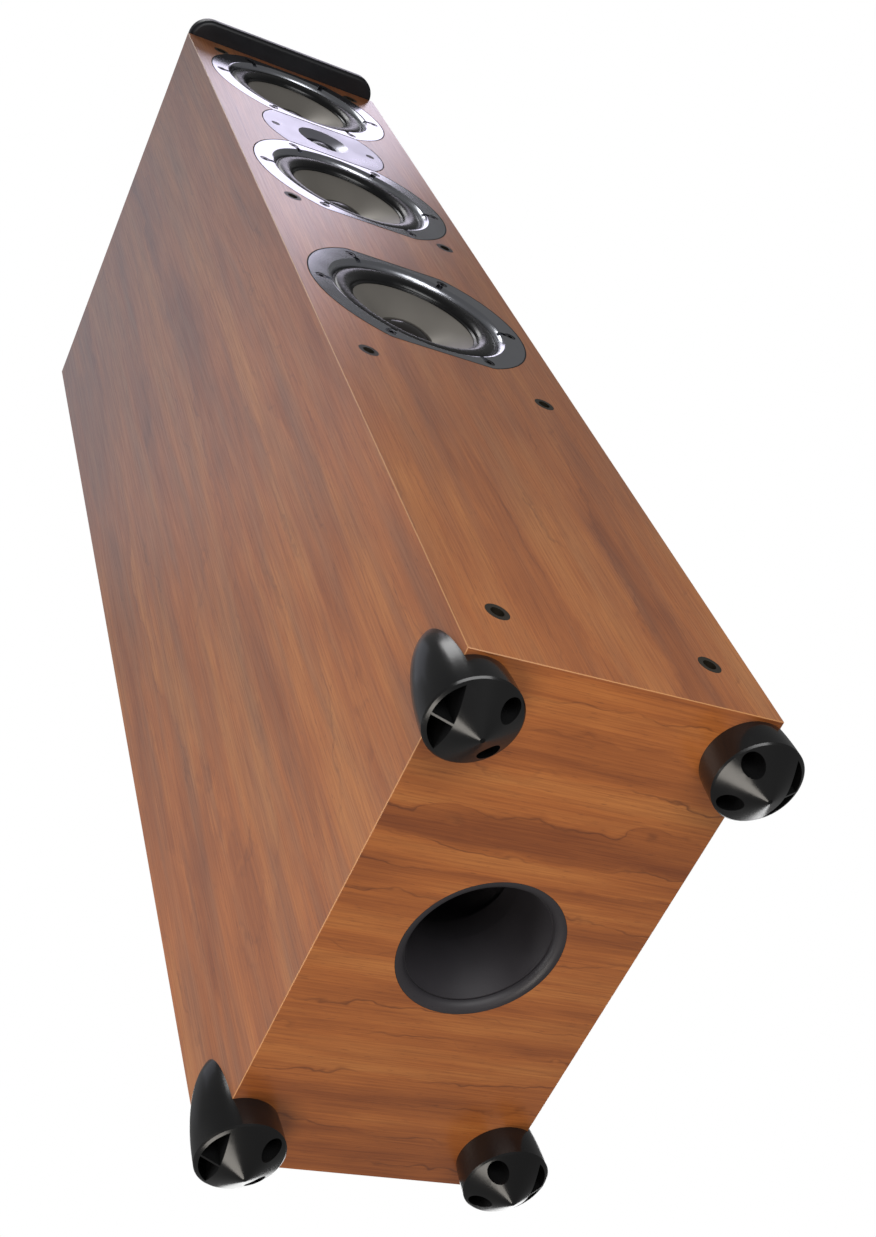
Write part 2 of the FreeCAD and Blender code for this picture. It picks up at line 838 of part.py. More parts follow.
def makePlate():
    """The faceplate: a thin disc cut straight above and below, dished around the dome."""
    dishMiddle = ((dishRadius + dishThroat) / 2 - dishHollow, dishDepth / 2 + dishHollow)
    steps = [
        (dishMiddle, (dishRadius, 0.0)),
        (plateRadius, 0.0),
        (plateRadius, plateThickness),
        (plateBossRadius, plateThickness),
        (plateBossRadius, plateBossDepth),
        (dishThroat, plateBossDepth),
    ]
    plate = turned((dishThroat, dishDepth), steps, tweeterCentre)
    low = tweeterCentre - plateFlat
    keep = block(2 * plateRadius, plateBossDepth, 2 * plateFlat, 0, frontFace, low)
    plate = plate.common(keep)
    for side in (-1, 1):
        plate = plate.cut(tweeterScrew(side, screwHoleGap, plateThickness))
    return plate


def tweeterScrew(side, gap, end):
    """A flush countersunk screw, or with a gap the hole it leaves in the plate."""
    x = side * tweeterScrewOffset
    base = Vector(x, frontFace, tweeterCentre)
    shank = tweeterShankRadius + gap
    head = Part.makeCone(tweeterHeadRadius + gap, shank, tweeterHeadHeight, base, inward)
    return head.fuse(disc(shank, tweeterHeadHeight, end, tweeterCentre, x))


def domeBase():
    return plateBossDepth + glueGap


def makeMembrane():
    """The dome's roll and the ring that is clamped behind the faceplate."""
    thick = membraneThickness
    base = domeBase()
    inner = domeRadius + glueGap
    outer = dishThroat - partingGap
    roll = (inner + outer) / 2
    steps = [
        ((roll, base - membraneRise), (outer, base)),
        (membraneLand, base),
        (membraneLand, base + thick),
        (outer - thick, base + thick),
        ((roll, base - membraneRise + thick), (inner + thick, base + thick)),
        (inner, base + thick),
    ]
    return turned((inner, base), steps, tweeterCentre)


def domeMotorFront():
    return domeBase() + membraneThickness + partingGap


def makeDomeCoil():
    outer = domeRadius - domeThickness / 2
    inner = outer - domeCoilWall
    base = domeBase() + glueGap
    middle = domeMotorFront() + domePlateThickness / 2
    half = domeCoilLength / 4
    steps = [
        (outer, base),
        (outer, middle - half),
        (outer + domeWinding, middle - half),
        (outer + domeWinding, middle + half),
        (outer, middle + half),
        (outer, base + domeCoilLength),
        (inner, base + domeCoilLength),
    ]
    return turned((inner, base), steps, tweeterCentre)


def makeDomeSteel():
    """The tweeter's front plate, and its back plate with the pole."""
    near = domeMotorFront()
    far = near + domePlateThickness
    outer = domeRadius - domeThickness / 2
    front = ring(domePlateRadius, outer + domeWinding + domeGap, near, far, tweeterCentre)
    plate = far + domeMagnetThickness
    pole = outer - domeCoilWall - domeGap
    back = disc(domePlateRadius, plate, plate + domeYokeThickness, tweeterCentre)
    return front, back.fuse(disc(pole, near, plate, tweeterCentre))


def makeDomeMagnet():
    near = domeMotorFront() + domePlateThickness
    return ring(domeMagnetRadius, domeMagnetHole, near, near + domeMagnetThickness, tweeterCentre)


def rearCupEnd():
    yoke = domeMotorFront() + domePlateThickness + domeMagnetThickness + domeYokeThickness
    return yoke + rearCupWall + glueGap


def makeRearCup():
    outer = rearCupRadius()
    cup = disc(outer, plateThickness, rearCupEnd(), tweeterCentre)
    room = disc(outer - rearCupWall, plateThickness, rearCupEnd() - rearCupWall, tweeterCentre)
    return cup.cut(room)


# ---- terminals ----

def cupFloor():
    """The y of the cup's floor, seen from behind."""
    return backFace - cupDepth


def makeCup():
    """A recessed plate with a raised boss around each post."""
    width, height = cupBodySize()
    centre = cupCentre()
    plate = roundedBlock(cupWidth, cupFlangeThickness, cupTall, backFace, centre, cupCornerRadius)
    depth = cupDepth + cupWall
    body = roundedBlock(width, depth, height, backFace - depth, centre, cupInnerRadius)
    wall = 2 * cupWall
    innerRadius = cupInnerRadius - cupWall
    open = cupDepth + cupFlangeThickness
    room = roundedBlock(width - wall, open, height - wall, cupFloor(), centre, innerRadius)
    cup = plate.fuse(body).cut(room)
    for side in (-1, 1):
        cup = cup.fuse(postBore(side, postBossRadius, cupFloor(), postBossHeight))
        through = cupWall + postBossHeight
        cup = cup.cut(postBore(side, postTailRadius + threadPlay, cupFloor() - cupWall, through))
    for x, z in cupScrewPlaces():
        radius = smallShankRadius + screwHoleGap
        cup = cup.cut(Part.makeCylinder(radius, cupFlangeThickness, Vector(x, backFace, z), inward))
    return cup.removeSplitter()


def postBore(side, radius, low, length):
    """A cylinder on a post's axis, from a low y backwards."""
    return Part.makeCylinder(radius, length, Vector(side * postSpacing / 2, low, cupCentre()), inward)


def makePost(side):
    """A binding post: a plug bore behind, and a thinner tail through the cup's floor."""
    seat = cupFloor() + postBossHeight
    end = backFace - postSetback
    tailEnd = cupFloor() - cupWall - postTail
    post = postBore(side, postRadius, seat, end - seat)
    post = post.fuse(postBore(side, postTailRadius, tailEnd, seat - tailEnd))
    return post.cut(postBore(side, plugBoreRadius, end - plugBoreDepth, plugBoreDepth))


def makeNut(side):
    """The hexagonal nut that holds a post against the cup's floor from inside."""
    x = side * postSpacing / 2
    y = cupFloor() - cupWall - nutThickness
    corner = nutAcross / math.sqrt(3)
    points = []
    for index in range(7):
        angle = math.radians(60 * index)
        points.append(Vector(x + corner * math.cos(angle), y, cupCentre() + corner * math.sin(angle)))
    nut = Part.Face(Part.makePolygon(points)).extrude(inward * nutThickness)
    return nut.cut(postBore(side, postTailRadius + threadPlay, y, nutThickness))


def collarSeat():
    return cupFloor() + postBossHeight + partingGap


def makeCollar(side):
    collar = postBore(side, collarRadius, collarSeat(), collarThickness)
    return collar.cut(postBore(side, postRadius + knobPlay, collarSeat(), collarThickness))


def makeKnob(side):
    """A fluted clamping nut with a rounded end."""
    x = side * postSpacing / 2
    base = Vector(x, collarSeat() + collarThickness + partingGap, cupCentre())
    knob = Part.makeCylinder(knobRadius, knobLength, base, inward)
    rim = [edge for edge in knob.Edges if edge.BoundBox.YMin > base.y + knobLength - tolerance]
    knob = knob.makeChamfer(knobChamfer, rim)
    flutes = []
    for index in range(knobFlutes):
        angle = math.radians(360.0 * index / knobFlutes)
        offset = Vector(math.cos(angle), 0, math.sin(angle)) * knobRadius
        flutes.append(Part.makeCylinder(knobFluteRadius, knobLength, base + offset, inward))
    flutes.append(postBore(side, postRadius + knobPlay, base.y, knobLength))
    return knob.cut(Part.makeCompound(flutes))


def cupScrews():
    """Small screws for the cup's flange, heads outwards."""
    seat = backFace + cupFlangeThickness
    for x, z in cupScrewPlaces():
        head = Part.makeCylinder(smallHeadRadius, smallHeadHeight, Vector(x, seat, z), inward)
        length = smallScrewGrip + cupFlangeThickness
        yield head.fuse(Part.makeCylinder(smallShankRadius, length, Vector(x, seat - length, z), inward))


# ---- crossover, leads and wadding ----

def boardFront():
    """The y of the circuit board's face that carries the components."""
    return backInner - boardThickness


def makeBoard():
    centre = boardCentre()
    plate = block(boardWidth, boardThickness, boardTall, 0, boardFront(), centre - boardTall / 2)
    for x, z in boardScrewPlaces():
        radius = smallShankRadius + screwHoleGap
        plate = plate.cut(Part.makeCylinder(radius, boardThickness, Vector(x, boardFront(), z), inward))
    return plate


def boardScrews():
    for x, z in boardScrewPlaces():
        seat = boardFront()
        base = Vector(x, seat - smallHeadHeight, z)
        head = Part.makeCylinder(smallHeadRadius, smallHeadHeight, base, inward)
        length = smallScrewGrip + boardThickness
        yield head.fuse(Part.makeCylinder(smallShankRadius, length, Vector(x, seat, z), inward))


def makeInductors():
    """Two air-cored coils, one flat on the board and one above it."""
    for place in (-1, 1):
        base = Vector(-boardWidth / 4, boardFront() - coilHeight, boardCentre() + place * boardTall / 4)
        coil = Part.makeCylinder(coilOuter, coilHeight, base, inward)
        yield coil.cut(Part.makeCylinder(coilInner, coilHeight, base, inward))


def makeCapacitors():
    for place in (-1, 0, 1):
        x = boardWidth / 4 - capacitorLength / 2
        z = boardCentre() + place * (2 * capacitorRadius + boardScrewInset)
        base = Vector(x, boardFront() - capacitorRadius, z)
        yield Part.makeCylinder(capacitorRadius, capacitorLength, base, Vector(1, 0, 0))


def makeResistors():
    for place in (-1, 1):
        z = boardCentre() + place * (boardTall / 2 - resistorWidth - boardScrewInset)
        low = z - resistorWidth / 2
        y = boardFront() - resistorWidth
        yield block(resistorLength, resistorWidth, resistorWidth, boardWidth / 4, y, low)


def tube(points, radius):
    """A round lead along straight runs joined by tangent arcs, each as large as its runs allow."""
    edges = []
    here = points[0]
    for before, corner, after in zip(points, points[1:], points[2:]):
        into = (corner - before).normalize()
        out = Vector(after - corner).normalize()
        half = into.getAngle(out) / 2
        shorter = min((corner - before).Length, (after - corner).Length)
        back = bendShare * shorter
        start = corner - into * back
        end = corner + out * back
        bend = back / math.tan(half)
        towards = (out - into).normalize()
        centre = corner + towards * (bend / math.cos(half))
        middle = centre - towards * bend
        edges.append(Part.LineSegment(here, start).toShape())
        edges.append(Part.Arc(start, middle, end).toShape())
        here = end
    edges.append(Part.LineSegment(here, points[-1]).toShape())
    path = Part.Wire(edges)
    direction = (points[1] - points[0]).normalize()
    profile = Part.Wire([Part.makeCircle(radius, points[0], direction)])
    return path.makePipeShell([profile], True, False)


def leadOffset(index):
    """The leads lie side by side down the middle of the cabinet."""
    return (index - 1.5) * leadSpacing


def intoBoard(x, run):
    """The last points of a driver's lead, from the upright run back to the board's top edge."""
    end = boardCentre() + boardTall / 2 - leadEndInset
    middle = (run + boardFront()) / 2
    return [
        Vector(x, run, end + leadDrop),
        Vector(x, middle, end - leadDrop / 2),
        Vector(x, boardFront() - leadDrop, end),
        Vector(x, boardFront(), end),
    ]


def makeLeads():
    """A lead from each driver down to the crossover, and a pair from the terminals up to it."""
    run = frontFace + leadRunDepth
    start = frontFace + basketSeatDepth + basketSeatThickness + tagThickness / 2
    leads = []
    for index, name in ((0, "upper"), (2, "middle"), (3, "lower")):
        x = leadOffset(index)
        low = wooferCentres[name] - basketBackRadius + tagInset
        bend = low - leadDrop
        points = [Vector(x, start, low), Vector(x, start, bend), Vector(x, run, bend - (run - start))]
        leads.append(tube(points + intoBoard(x, run), leadRadius))
    x = leadOffset(1)
    start = frontFace + rearCupEnd()
    level = tweeterCentre - tweeterLeadDrop
    points = [
        Vector(x, start, level),
        Vector(x, start + leadDrop, level),
        Vector(x, run, level - 2 * leadDrop),
    ]
    leads.append(tube(points + intoBoard(x, run), leadRadius))
    start = cupFloor() - cupWall - postTail
    out = start - terminalLeadReach
    end = boardCentre() - boardTall / 2 + leadEndInset
    for side in (-1, 1):
        x = side * postSpacing / 2
        points = [
            Vector(x, start, cupCentre()),
            Vector(x, out, cupCentre()),
            Vector(x, out, end),
            Vector(x, boardFront(), end),
        ]
        leads.append(tube(points, leadRadius))
    return leads


def makeWadding():
    """A soft block behind the drivers in each of the two upper bays."""
    width = cabinetWidth - 2 * panelThickness - 2 * waddingSideGap
    y = backInner - waddingClearance - waddingThickness
    floors = [low + braceThickness for low in braceLevels]
    ceilings = [braceLevels[1], cabinetTop - panelThickness]
    for floor, ceiling in zip(floors, ceilings):
        height = ceiling - floor - 2 * waddingClearance
        yield block(width, waddingThickness, height, 0, y, floor + waddingClearance)


# ---- every piece, one file each ----

os.makedirs("parts", exist_ok=True)

save("left_side_panel", makeSide(-1))
save("right_side_panel", makeSide(1))
save("front_baffle", makeBaffle())
save("back_panel", makeBack())
save("top_panel", makeTop())
save("bottom_panel", makeBottom())
save("window_braces", *[makeBrace(low) for low in braceLevels])
save("top_cap", makeCap())
save("port_flare", makePortFlare())
save("port_tube", makePortTube())

for name, side, x, y in footPlaces():
    save("foot_" + name, makeFoot(side, x, y))
footSeat = cabinetBottom - footScrewFloor
footTip = cabinetBottom + footScrewGrip
save("foot_screws", *[
    upScrew(footHeadRadius, footHeadHeight, footShankRadius, footSeat, footTip, x, y)
    for x, y in footScrewPlaces()
])
save("grille_sockets", *[makeSocket(x, z) for x, z in socketPlaces()])

for name, centre in wooferCentres.items():
    save(name + "_woofer_basket", makeBasket(centre))
    save(name + "_woofer_surround", makeSurround(centre))
    save(name + "_woofer_spider", makeSpider(centre))
    save(name + "_woofer_cone", makeCone(centre))
    save(name + "_woofer_dust_cap", makeDustCap(centre))
    save(name + "_woofer_voice_coil", makeCoil(centre))
centres = list(wooferCentres.values())
save("woofer_magnets", *[makeMagnet(centre) for centre in centres])
save("woofer_motor_steel", *[make(centre) for make in (makeTopPlate, makeYoke) for centre in centres])
save("woofer_tag_blocks", *[makeTag(centre) for centre in centres])
save("woofer_screws", *[screw for centre in centres for screw in wooferScrews(centre)])

save("tweeter_faceplate", makePlate())
save("tweeter_surround", makeMembrane())
save("tweeter_dome", domeShell(domeRadius, domeBase(), domeCrown, domeThickness, tweeterCentre))
save("tweeter_voice_coil", makeDomeCoil())
save("tweeter_motor_steel", *makeDomeSteel())
save("tweeter_magnet", makeDomeMagnet())
save("tweeter_rear_cup", makeRearCup())
save("tweeter_screws", *[tweeterScrew(side, 0, tweeterScrewEnd) for side in (-1, 1)])

save("terminal_cup", makeCup())
save("binding_posts", *[makePost(side) for side in (-1, 1)])
save("post_nuts", *[makeNut(side) for side in (-1, 1)])
for name, side in (("left", -1), ("right", 1)):
    save(name + "_post_collar", makeCollar(side))
    save(name + "_post_knob", makeKnob(side))
save("small_screws", *cupScrews(), *boardScrews())

save("crossover_board", makeBoard())
save("crossover_inductors", *makeInductors())
save("crossover_capacitors", *makeCapacitors())
save("crossover_resistors", *makeResistors())
save("internal_leads", *makeLeads())
save("wadding", *makeWadding())
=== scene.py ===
import math
from functools import partial

import bmesh
import bpy
from mathutils import Matrix, Vector, noise


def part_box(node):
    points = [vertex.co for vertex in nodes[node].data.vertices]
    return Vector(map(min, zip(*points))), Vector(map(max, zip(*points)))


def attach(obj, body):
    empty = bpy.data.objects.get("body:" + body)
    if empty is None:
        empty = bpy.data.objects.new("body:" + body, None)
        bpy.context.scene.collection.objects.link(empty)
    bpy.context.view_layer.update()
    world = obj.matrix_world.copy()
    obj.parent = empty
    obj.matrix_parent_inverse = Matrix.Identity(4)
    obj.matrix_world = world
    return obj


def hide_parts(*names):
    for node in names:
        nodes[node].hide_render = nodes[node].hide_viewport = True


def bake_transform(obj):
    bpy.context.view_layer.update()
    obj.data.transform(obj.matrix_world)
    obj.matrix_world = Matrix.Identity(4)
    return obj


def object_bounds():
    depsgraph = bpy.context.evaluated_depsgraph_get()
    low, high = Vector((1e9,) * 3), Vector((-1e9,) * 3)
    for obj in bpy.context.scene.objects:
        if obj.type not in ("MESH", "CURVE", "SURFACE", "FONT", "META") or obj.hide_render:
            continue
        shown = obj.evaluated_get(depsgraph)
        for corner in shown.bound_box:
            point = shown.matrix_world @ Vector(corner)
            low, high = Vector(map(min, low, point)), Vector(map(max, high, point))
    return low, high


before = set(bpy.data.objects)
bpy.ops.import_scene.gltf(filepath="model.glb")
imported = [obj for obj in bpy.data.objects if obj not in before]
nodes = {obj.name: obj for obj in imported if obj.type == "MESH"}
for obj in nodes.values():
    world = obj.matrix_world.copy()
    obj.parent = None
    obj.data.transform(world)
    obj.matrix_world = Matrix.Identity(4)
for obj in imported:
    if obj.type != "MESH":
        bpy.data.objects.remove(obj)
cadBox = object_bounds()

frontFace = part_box("front_baffle")[0].y
mm = 0.001    # places and lights are in metres, and the sizes of details in millimetres
sameSpot = 0.01 * mm    # corners closer than this are one
wooferPlaces = ("upper", "middle", "lower")
print("frame loaded:", len(nodes), "nodes")


def toLinear(hexColour):
    channels = [int(hexColour[i:i + 2], 16) / 255 for i in (0, 2, 4)]
    linear = [c / 12.92 if c <= 0.04045 else ((c + 0.055) / 1.055) ** 2.4 for c in channels]
    return (*linear, 1.0)


def setInputs(tree, node, inputs):
    # a node or a socket is linked to its input, and a number or a colour is set on it
    for name, value in inputs.items():
        if isinstance(name, int):
            socket = node.inputs[name]
        else:
            socket = next(socket for socket in node.inputs if socket.name == name and socket.enabled)
        if isinstance(value, bpy.types.Node):
            value = next(output for output in value.outputs if output.enabled)
        if isinstance(value, bpy.types.NodeSocket):
            tree.links.new(value, socket)
        else:
            socket.default_value = toLinear(value) if isinstance(value, str) else value


def addNode(tree, kind, inputs=None, stops=(), **settings):
    # a MapRange node's inputs 1 to 4 are: from low, from high, to low, to high
    node = tree.nodes.new("ShaderNode" + kind)
    for name, value in settings.items():
        setattr(node, name, value)
    setInputs(tree, node, inputs or {})
    if stops:    # a colour ramp's places and colours, in order
        elements = node.color_ramp.elements
        elements.remove(elements[1])
        elements[0].position = stops[0][0]
        for position, _ in stops[1:]:
            elements.new(position)
        for element, (_, colour) in zip(elements, stops):
            element.color = toLinear(colour)
    return node


def emptyTree(owner):
    owner.use_nodes = True
    owner.node_tree.nodes.clear()
    return owner.node_tree


def newMaterial(name):
    material = bpy.data.materials.new(name)
    tree = emptyTree(material)
    surface = addNode(tree, "BsdfPrincipled")
    addNode(tree, "OutputMaterial", {"Surface": surface})
    local = addNode(tree, "TexCoord").outputs["Object"]
    place = addNode(tree, "VectorMath", {0: local, "Scale": 1 / mm}, operation="SCALE")
    return material, tree, surface, place    # place is in millimetres, in the object's own frame


def finishNodes(names, material):
    for name in names:
        for slot in nodes[name].material_slots:
            slot.material = material


def addObject(name, data):
    holder = bpy.data.objects.new(name, data)
    bpy.context.scene.collection.objects.link(holder)
    return holder


def addPiece(name, build, material, smooth):
    bmesh.ops.recalc_face_normals(build, faces=build.faces)
    mesh = bpy.data.meshes.new(name)
    build.to_mesh(mesh)
    build.free()
    mesh.materials.append(material)
    for polygon in mesh.polygons:
        polygon.use_smooth = smooth
    return addObject(name, mesh)


camera = {
    "place": (-0.5023, -0.4028, -0.6689),   # from the foot of the front face: low, left, looking up
    "right": (0.8786, -0.4081, -0.2480),
    "up": (-0.22473, -0.81155, 0.53934),
    "lens": 52.38,
    "sensor": 36.0,
    "shift": (-0.0018, -0.0356),
}


def makeCamera():
    data = bpy.data.cameras.new("viewCamera")
    data.lens = camera["lens"]
    data.sensor_width = camera["sensor"]
    data.shift_x, data.shift_y = camera["shift"]
    holder = addObject("viewCamera", data)
    right = Vector(camera["right"]).normalized()
    back = right.cross(Vector(camera["up"])).normalized()
    turn = Matrix((right, back.cross(right), back)).transposed()
    place = Vector(camera["place"]) + Vector((0, frontFace, cadBox[0].z))
    holder.matrix_world = Matrix.Translation(place) @ turn.to_4x4()
    bpy.context.scene.camera = holder


floorPaper = {
    "size": 16.0,
    "colour": "B4B3B1",
    "glow": 0.50,       # keeps the paper pale in every view, with a soft shadow left on it
}


def makeFloor():
    # painted paper: plain and matt from above, and clear from below, where the camera stands
    material = bpy.data.materials.new("paintedPaperFloor")
    tree = emptyTree(material)
    above = addNode(tree, "AddShader", {
        0: addNode(tree, "BsdfDiffuse", {"Color": floorPaper["colour"]}),
        1: addNode(tree, "Emission", {"Color": "FFFFFF", "Strength": floorPaper["glow"]}),
    })
    under = addNode(tree, "NewGeometry").outputs["Backfacing"]
    both = addNode(tree, "MixShader", {0: under, 1: above, 2: addNode(tree, "BsdfTransparent")})
    addNode(tree, "OutputMaterial", {"Surface": both})

    half = floorPaper["size"] / 2
    mesh = bpy.data.meshes.new("studioFloor")
    corners = [(x, y, cadBox[0].z) for x, y in ((-half, -half), (half, -half), (half, half), (-half, half))]
    mesh.from_pydata(corners, [], [(0, 1, 2, 3)])
    mesh.materials.append(material)
    floor = addObject("studioFloor", mesh)
    floor.visible_shadow = False    # light from under the floor reaches the underside
    floor.visible_diffuse = False
    floor.visible_glossy = False
    return floor


surroundings = {
    "backdrop": 1.0,    # what the camera sees behind the object
    "fill": 0.17,       # the even light that the object gets from all round
}


def makeSurroundings():
    world = bpy.data.worlds.new("studioLight")
    bpy.context.scene.world = world
    tree = emptyTree(world)
    ray = addNode(tree, "LightPath").outputs["Is Camera Ray"]
    fill, seen = (addNode(tree, "Background", {"Color": "FFFFFF", "Strength": surroundings[key]})
                  for key in ("fill", "backdrop"))
    addNode(tree, "OutputWorld", {"Surface": addNode(tree, "MixShader", {0: ray, 1: fill, 2: seen})})
    bpy.context.scene.view_settings.view_transform = "Standard"


# Those kept off the floor stand close to it or under it, and would leave a bright patch there.
softboxes = {
    "overheadSoftbox": {"at": (0.46, -0.40, 3.0), "aim": (0.0, -0.18, 0.9), "size": (0.96, 0.97),
                        "radiance": 2.2, "tint": "F1EAFF"},
    "ceilingSoftbox": {"at": (-0.85, 0.8, 3.2), "aim": (-0.1, 0.0, 0.8), "size": (1.5, 1.1),
                       "radiance": 0.28, "tint": "E8ECFF"},
    "rearSoftbox": {"at": (-1.15, 1.95, 3.0), "aim": (-0.1, 0.1, 0.5), "size": (1.6, 1.3),
                    "radiance": 0.075, "tint": "E8ECFF"},
    "highSoftbox": {"at": (-0.4, -1.1, 2.6), "aim": (0.0, -0.18, 0.7), "size": (0.8, 0.7), "radiance": 4.4},
    "frontSoftbox": {"at": (-0.25, -1.1, -0.45), "aim": (-0.05, -0.18, 0.15), "size": (1.1, 0.7),
                     "radiance": 5.2, "offFloor": True},
    "leftSoftbox": {"at": (-0.85, 0.42, 0.12), "aim": (-0.1, 0.10, 0.12), "size": (0.6, 0.6),
                    "radiance": 5.0, "offFloor": True},
    "backSoftbox": {"at": (1.2, 1.7, 1.3), "aim": (0.0, 0.0, 0.5), "size": (1.5, 1.4), "radiance": 2.0},
    "lowSoftbox": {"at": (-0.8, 0.45, -1.6), "aim": (0.0, 0.0, 0.0), "size": (0.8, 1.1),
                   "radiance": 5.8, "tint": "FFF8EE", "offFloor": True},
}


def makeSoftboxes(floor):
    floorOut = bpy.data.collections.new("floorOut")    # lights linked to this leave the floor alone
    floorOut.objects.link(floor)
    floorOut.collection_objects[0].light_linking.link_state = "EXCLUDE"
    for name, box in softboxes.items():
        light = bpy.data.lights.new(name, "AREA")
        light.shape = "RECTANGLE"
        light.size, light.size_y = box["size"]
        light.energy = box["radiance"] * math.pi * light.size * light.size_y
        light.color = toLinear(box.get("tint", "FFFFFF"))[:3]
        holder = addObject(name, light)
        holder.visible_camera = False
        if box.get("offFloor"):
            holder.light_linking.receiver_collection = floorOut
        holder.location = box["at"]
        aim = Vector(box["aim"]) - Vector(box["at"])
        holder.rotation_euler = aim.to_track_quat("-Z", "Y").to_euler()


# Cherry veneer, sliced from the log and lacquered. It gives the eye warm orange wood with soft
# clouds, growth lines that wander and fray, small pin knots, and a pale sheen at low angles.
veneer = {
    "light": "CA8343",
    "mid": "B3682F",
    "dark": "8E4C20",
    "dull": "8A634A",      # streaks of greyer heartwood
    "line": "5E2E14",
    "pore": "5A3018",
    "edgeHighlight": "C8935E",      # painted highlight: a pale line along each board's edges, where the corner would catch the light
    "edgeHighlightWidth": 0.14,
    "edgeHighlightFade": 1.6,       # how many times its width the line takes to fade
    "edgeHighlightAmount": 0.75,
    "tones": (0.22, 0.50, 0.80),           # where the wood is dark, mid and light
    "cloudAmount": 0.30,
    "poreAmount": 0.40,
    "fibreShades": [(0.34, "E2DAD3"), (0.62, "FFFFFF")],
    "ringShades": [(0.0, "505050"), (0.12, "181818"), (0.6, "0C0C0C"), (0.90, "303030"),
                   (0.962, "FFFFFF"), (0.98, "B8B8B8"), (1.0, "505050")],    # across one ring
    "fineShades": [(0.0, "000000"), (0.82, "707070"), (1.0, "000000")],
    "fineLines": 4.0,      # finer lines in each ring
    "fineAmount": 0.75,
    "faintLine": 0.05,     # where a growth line all but fades out
    "toneBlend": (0.80, 0.98),             # where in a ring its tone turns into the next one's
    "wobble": 6.0,         # how far the rings wobble, in shares of their fray
    "roughness": (0.45, 0.36),             # between the fibres, and on them
    "bumpDepth": 0.02,
    "bumpStrength": 0.5,
    "fibreHeight": 0.5,    # against the depth of a pore
    "coat": 1.0,
    "coatRoughness": 0.25,
    "coatIor": 1.5,
}
# Noise drawn out along the grain: its size across and along in millimetres or in widths of the
# board's bands, and the values between which it shows. Step keeps each pattern apart from the rest.
grain = {
    "wander": {"step": 0, "size": (60.0, 240.0), "detail": 2.0},
    "wobble": {"step": 5, "size": (13.0, 26.0), "detail": 2.0},
    "fray": {"step": 7, "size": (5.0, 9.0), "detail": 1.5},
    "breaks": {"step": 9, "size": (30.0, 80.0), "detail": 1.0, "shows": (0.40, 0.64)},
    "band": {"step": 14, "bandSize": (1.0, 13.0), "detail": 3.0},
    "cloud": {"step": 17, "size": (20.0, 80.0), "detail": 2.0},
    "fibre": {"step": 20, "size": (1.1, 60.0), "detail": 4.0, "roughness": 0.6, "shows": (0.3, 0.7)},
    "pore": {"step": 26, "size": (0.7, 9.0), "detail": 2.0, "shows": (0.63, 0.73)},    # drawn wide, to show
    "streak": {"step": 31, "bandSize": (0.6, 8.0), "detail": 2.0, "shows": (0.42, 0.76)},
    "fleck": {"step": 37, "size": (2.4, 60.0), "detail": 2.0, "shows": (0.50, 0.74)},
}
# A knot pushes the rings aside, and its heart is dark. Drift is how far the wobble and the fray bend
# its outline, in millimetres across and along.
knot = {"drift": (14.0, 12.0), "squeeze": 0.55, "falloff": 0.14, "push": 0.8, "heartFalloff": 6.0,
        "heartAmount": 0.5}
# For each board: the axes across and along the grain, then the heart of the log (how far to the side,
# how deep, and how that depth changes along the board), the ring spacing in millimetres, how far the
# rings swing and fray (in rings), and how strong the lines, the ring tones, the bands, the dull
# streaks and the flecks are. The painted light band is painted light: a strip of the wood painted
# lighter across the middle of the board, where the light falls brightest (across, half width,
# strength), and knots are (across, along, size).
boards = {
    "front_baffle": {"axes": "XZ", "seed": 3.1, "heart": (12.0, 46.0, -0.085), "ring": 17.0,
                     "swing": 1.7, "fray": 0.10, "line": 0.30, "tone": 0.14, "band": 0.70,
                     "bandWidth": 26.0, "dull": 0.35, "fleck": 0.06},
    "left_side_panel": {"axes": "YZ", "seed": 7.4, "heart": (60.0, 90.0, -0.12), "ring": 30.0,
                        "swing": 2.2, "fray": 0.09, "line": 0.30, "tone": 0.18, "band": 0.85,
                        "bandWidth": 24.0, "dull": 0.55, "fleck": 0.11},
    "right_side_panel": {"axes": "YZ", "seed": 12.9, "heart": (-40.0, 80.0, 0.1), "ring": 30.0,
                         "swing": 2.2, "fray": 0.09, "line": 0.30, "tone": 0.18, "band": 0.85,
                         "bandWidth": 24.0, "dull": 0.50, "fleck": 0.11},
    "back_panel": {"axes": "XZ", "seed": 21.5, "heart": (-20.0, 70.0, 0.08), "ring": 20.0,
                   "swing": 1.7, "fray": 0.10, "line": 0.36, "tone": 0.16, "band": 0.8,
                   "bandWidth": 30.0, "dull": 0.4, "fleck": 0.10},
    "top_panel": {"axes": "YX", "seed": 30.2, "heart": (-400.0, 60.0, 0.08), "ring": 26.0,
                  "swing": 1.6, "fray": 0.13, "line": 0.5, "tone": 0.16, "band": 0.7,
                  "bandWidth": 26.0, "dull": 0.2, "fleck": 0.14},
    "bottom_panel": {"axes": "YX", "seed": 43.2, "heart": (-500.0, 60.0, 0.1), "ring": 25.0,
                     "swing": 2.0, "fray": 0.12, "line": 0.64, "tone": 0.20, "band": 0.80,
                     "bandWidth": 20.0, "dull": 0.0, "fleck": 0.18,
                     "paintedLightBand": (25.0, 75.0, 0.16), "knots": ((-77.0, -58.0, 2.6), (-91.0, 62.0, 2.2))},
}


def grainNoise(add, place, pattern, board):
    width, length = pattern.get("size") or (share * board["bandWidth"] for share in pattern["bandSize"])
    point = add("VectorMath", {0: place, 1: (1 / width, 1 / length, 0.0),
                               2: (0.0, 0.0, board["seed"] + pattern["step"])}, operation="MULTIPLY_ADD")
    return add("TexNoise", {"Vector": point, "Scale": 1.0, "Detail": pattern["detail"],
                            "Roughness": pattern.get("roughness", 0.5)})


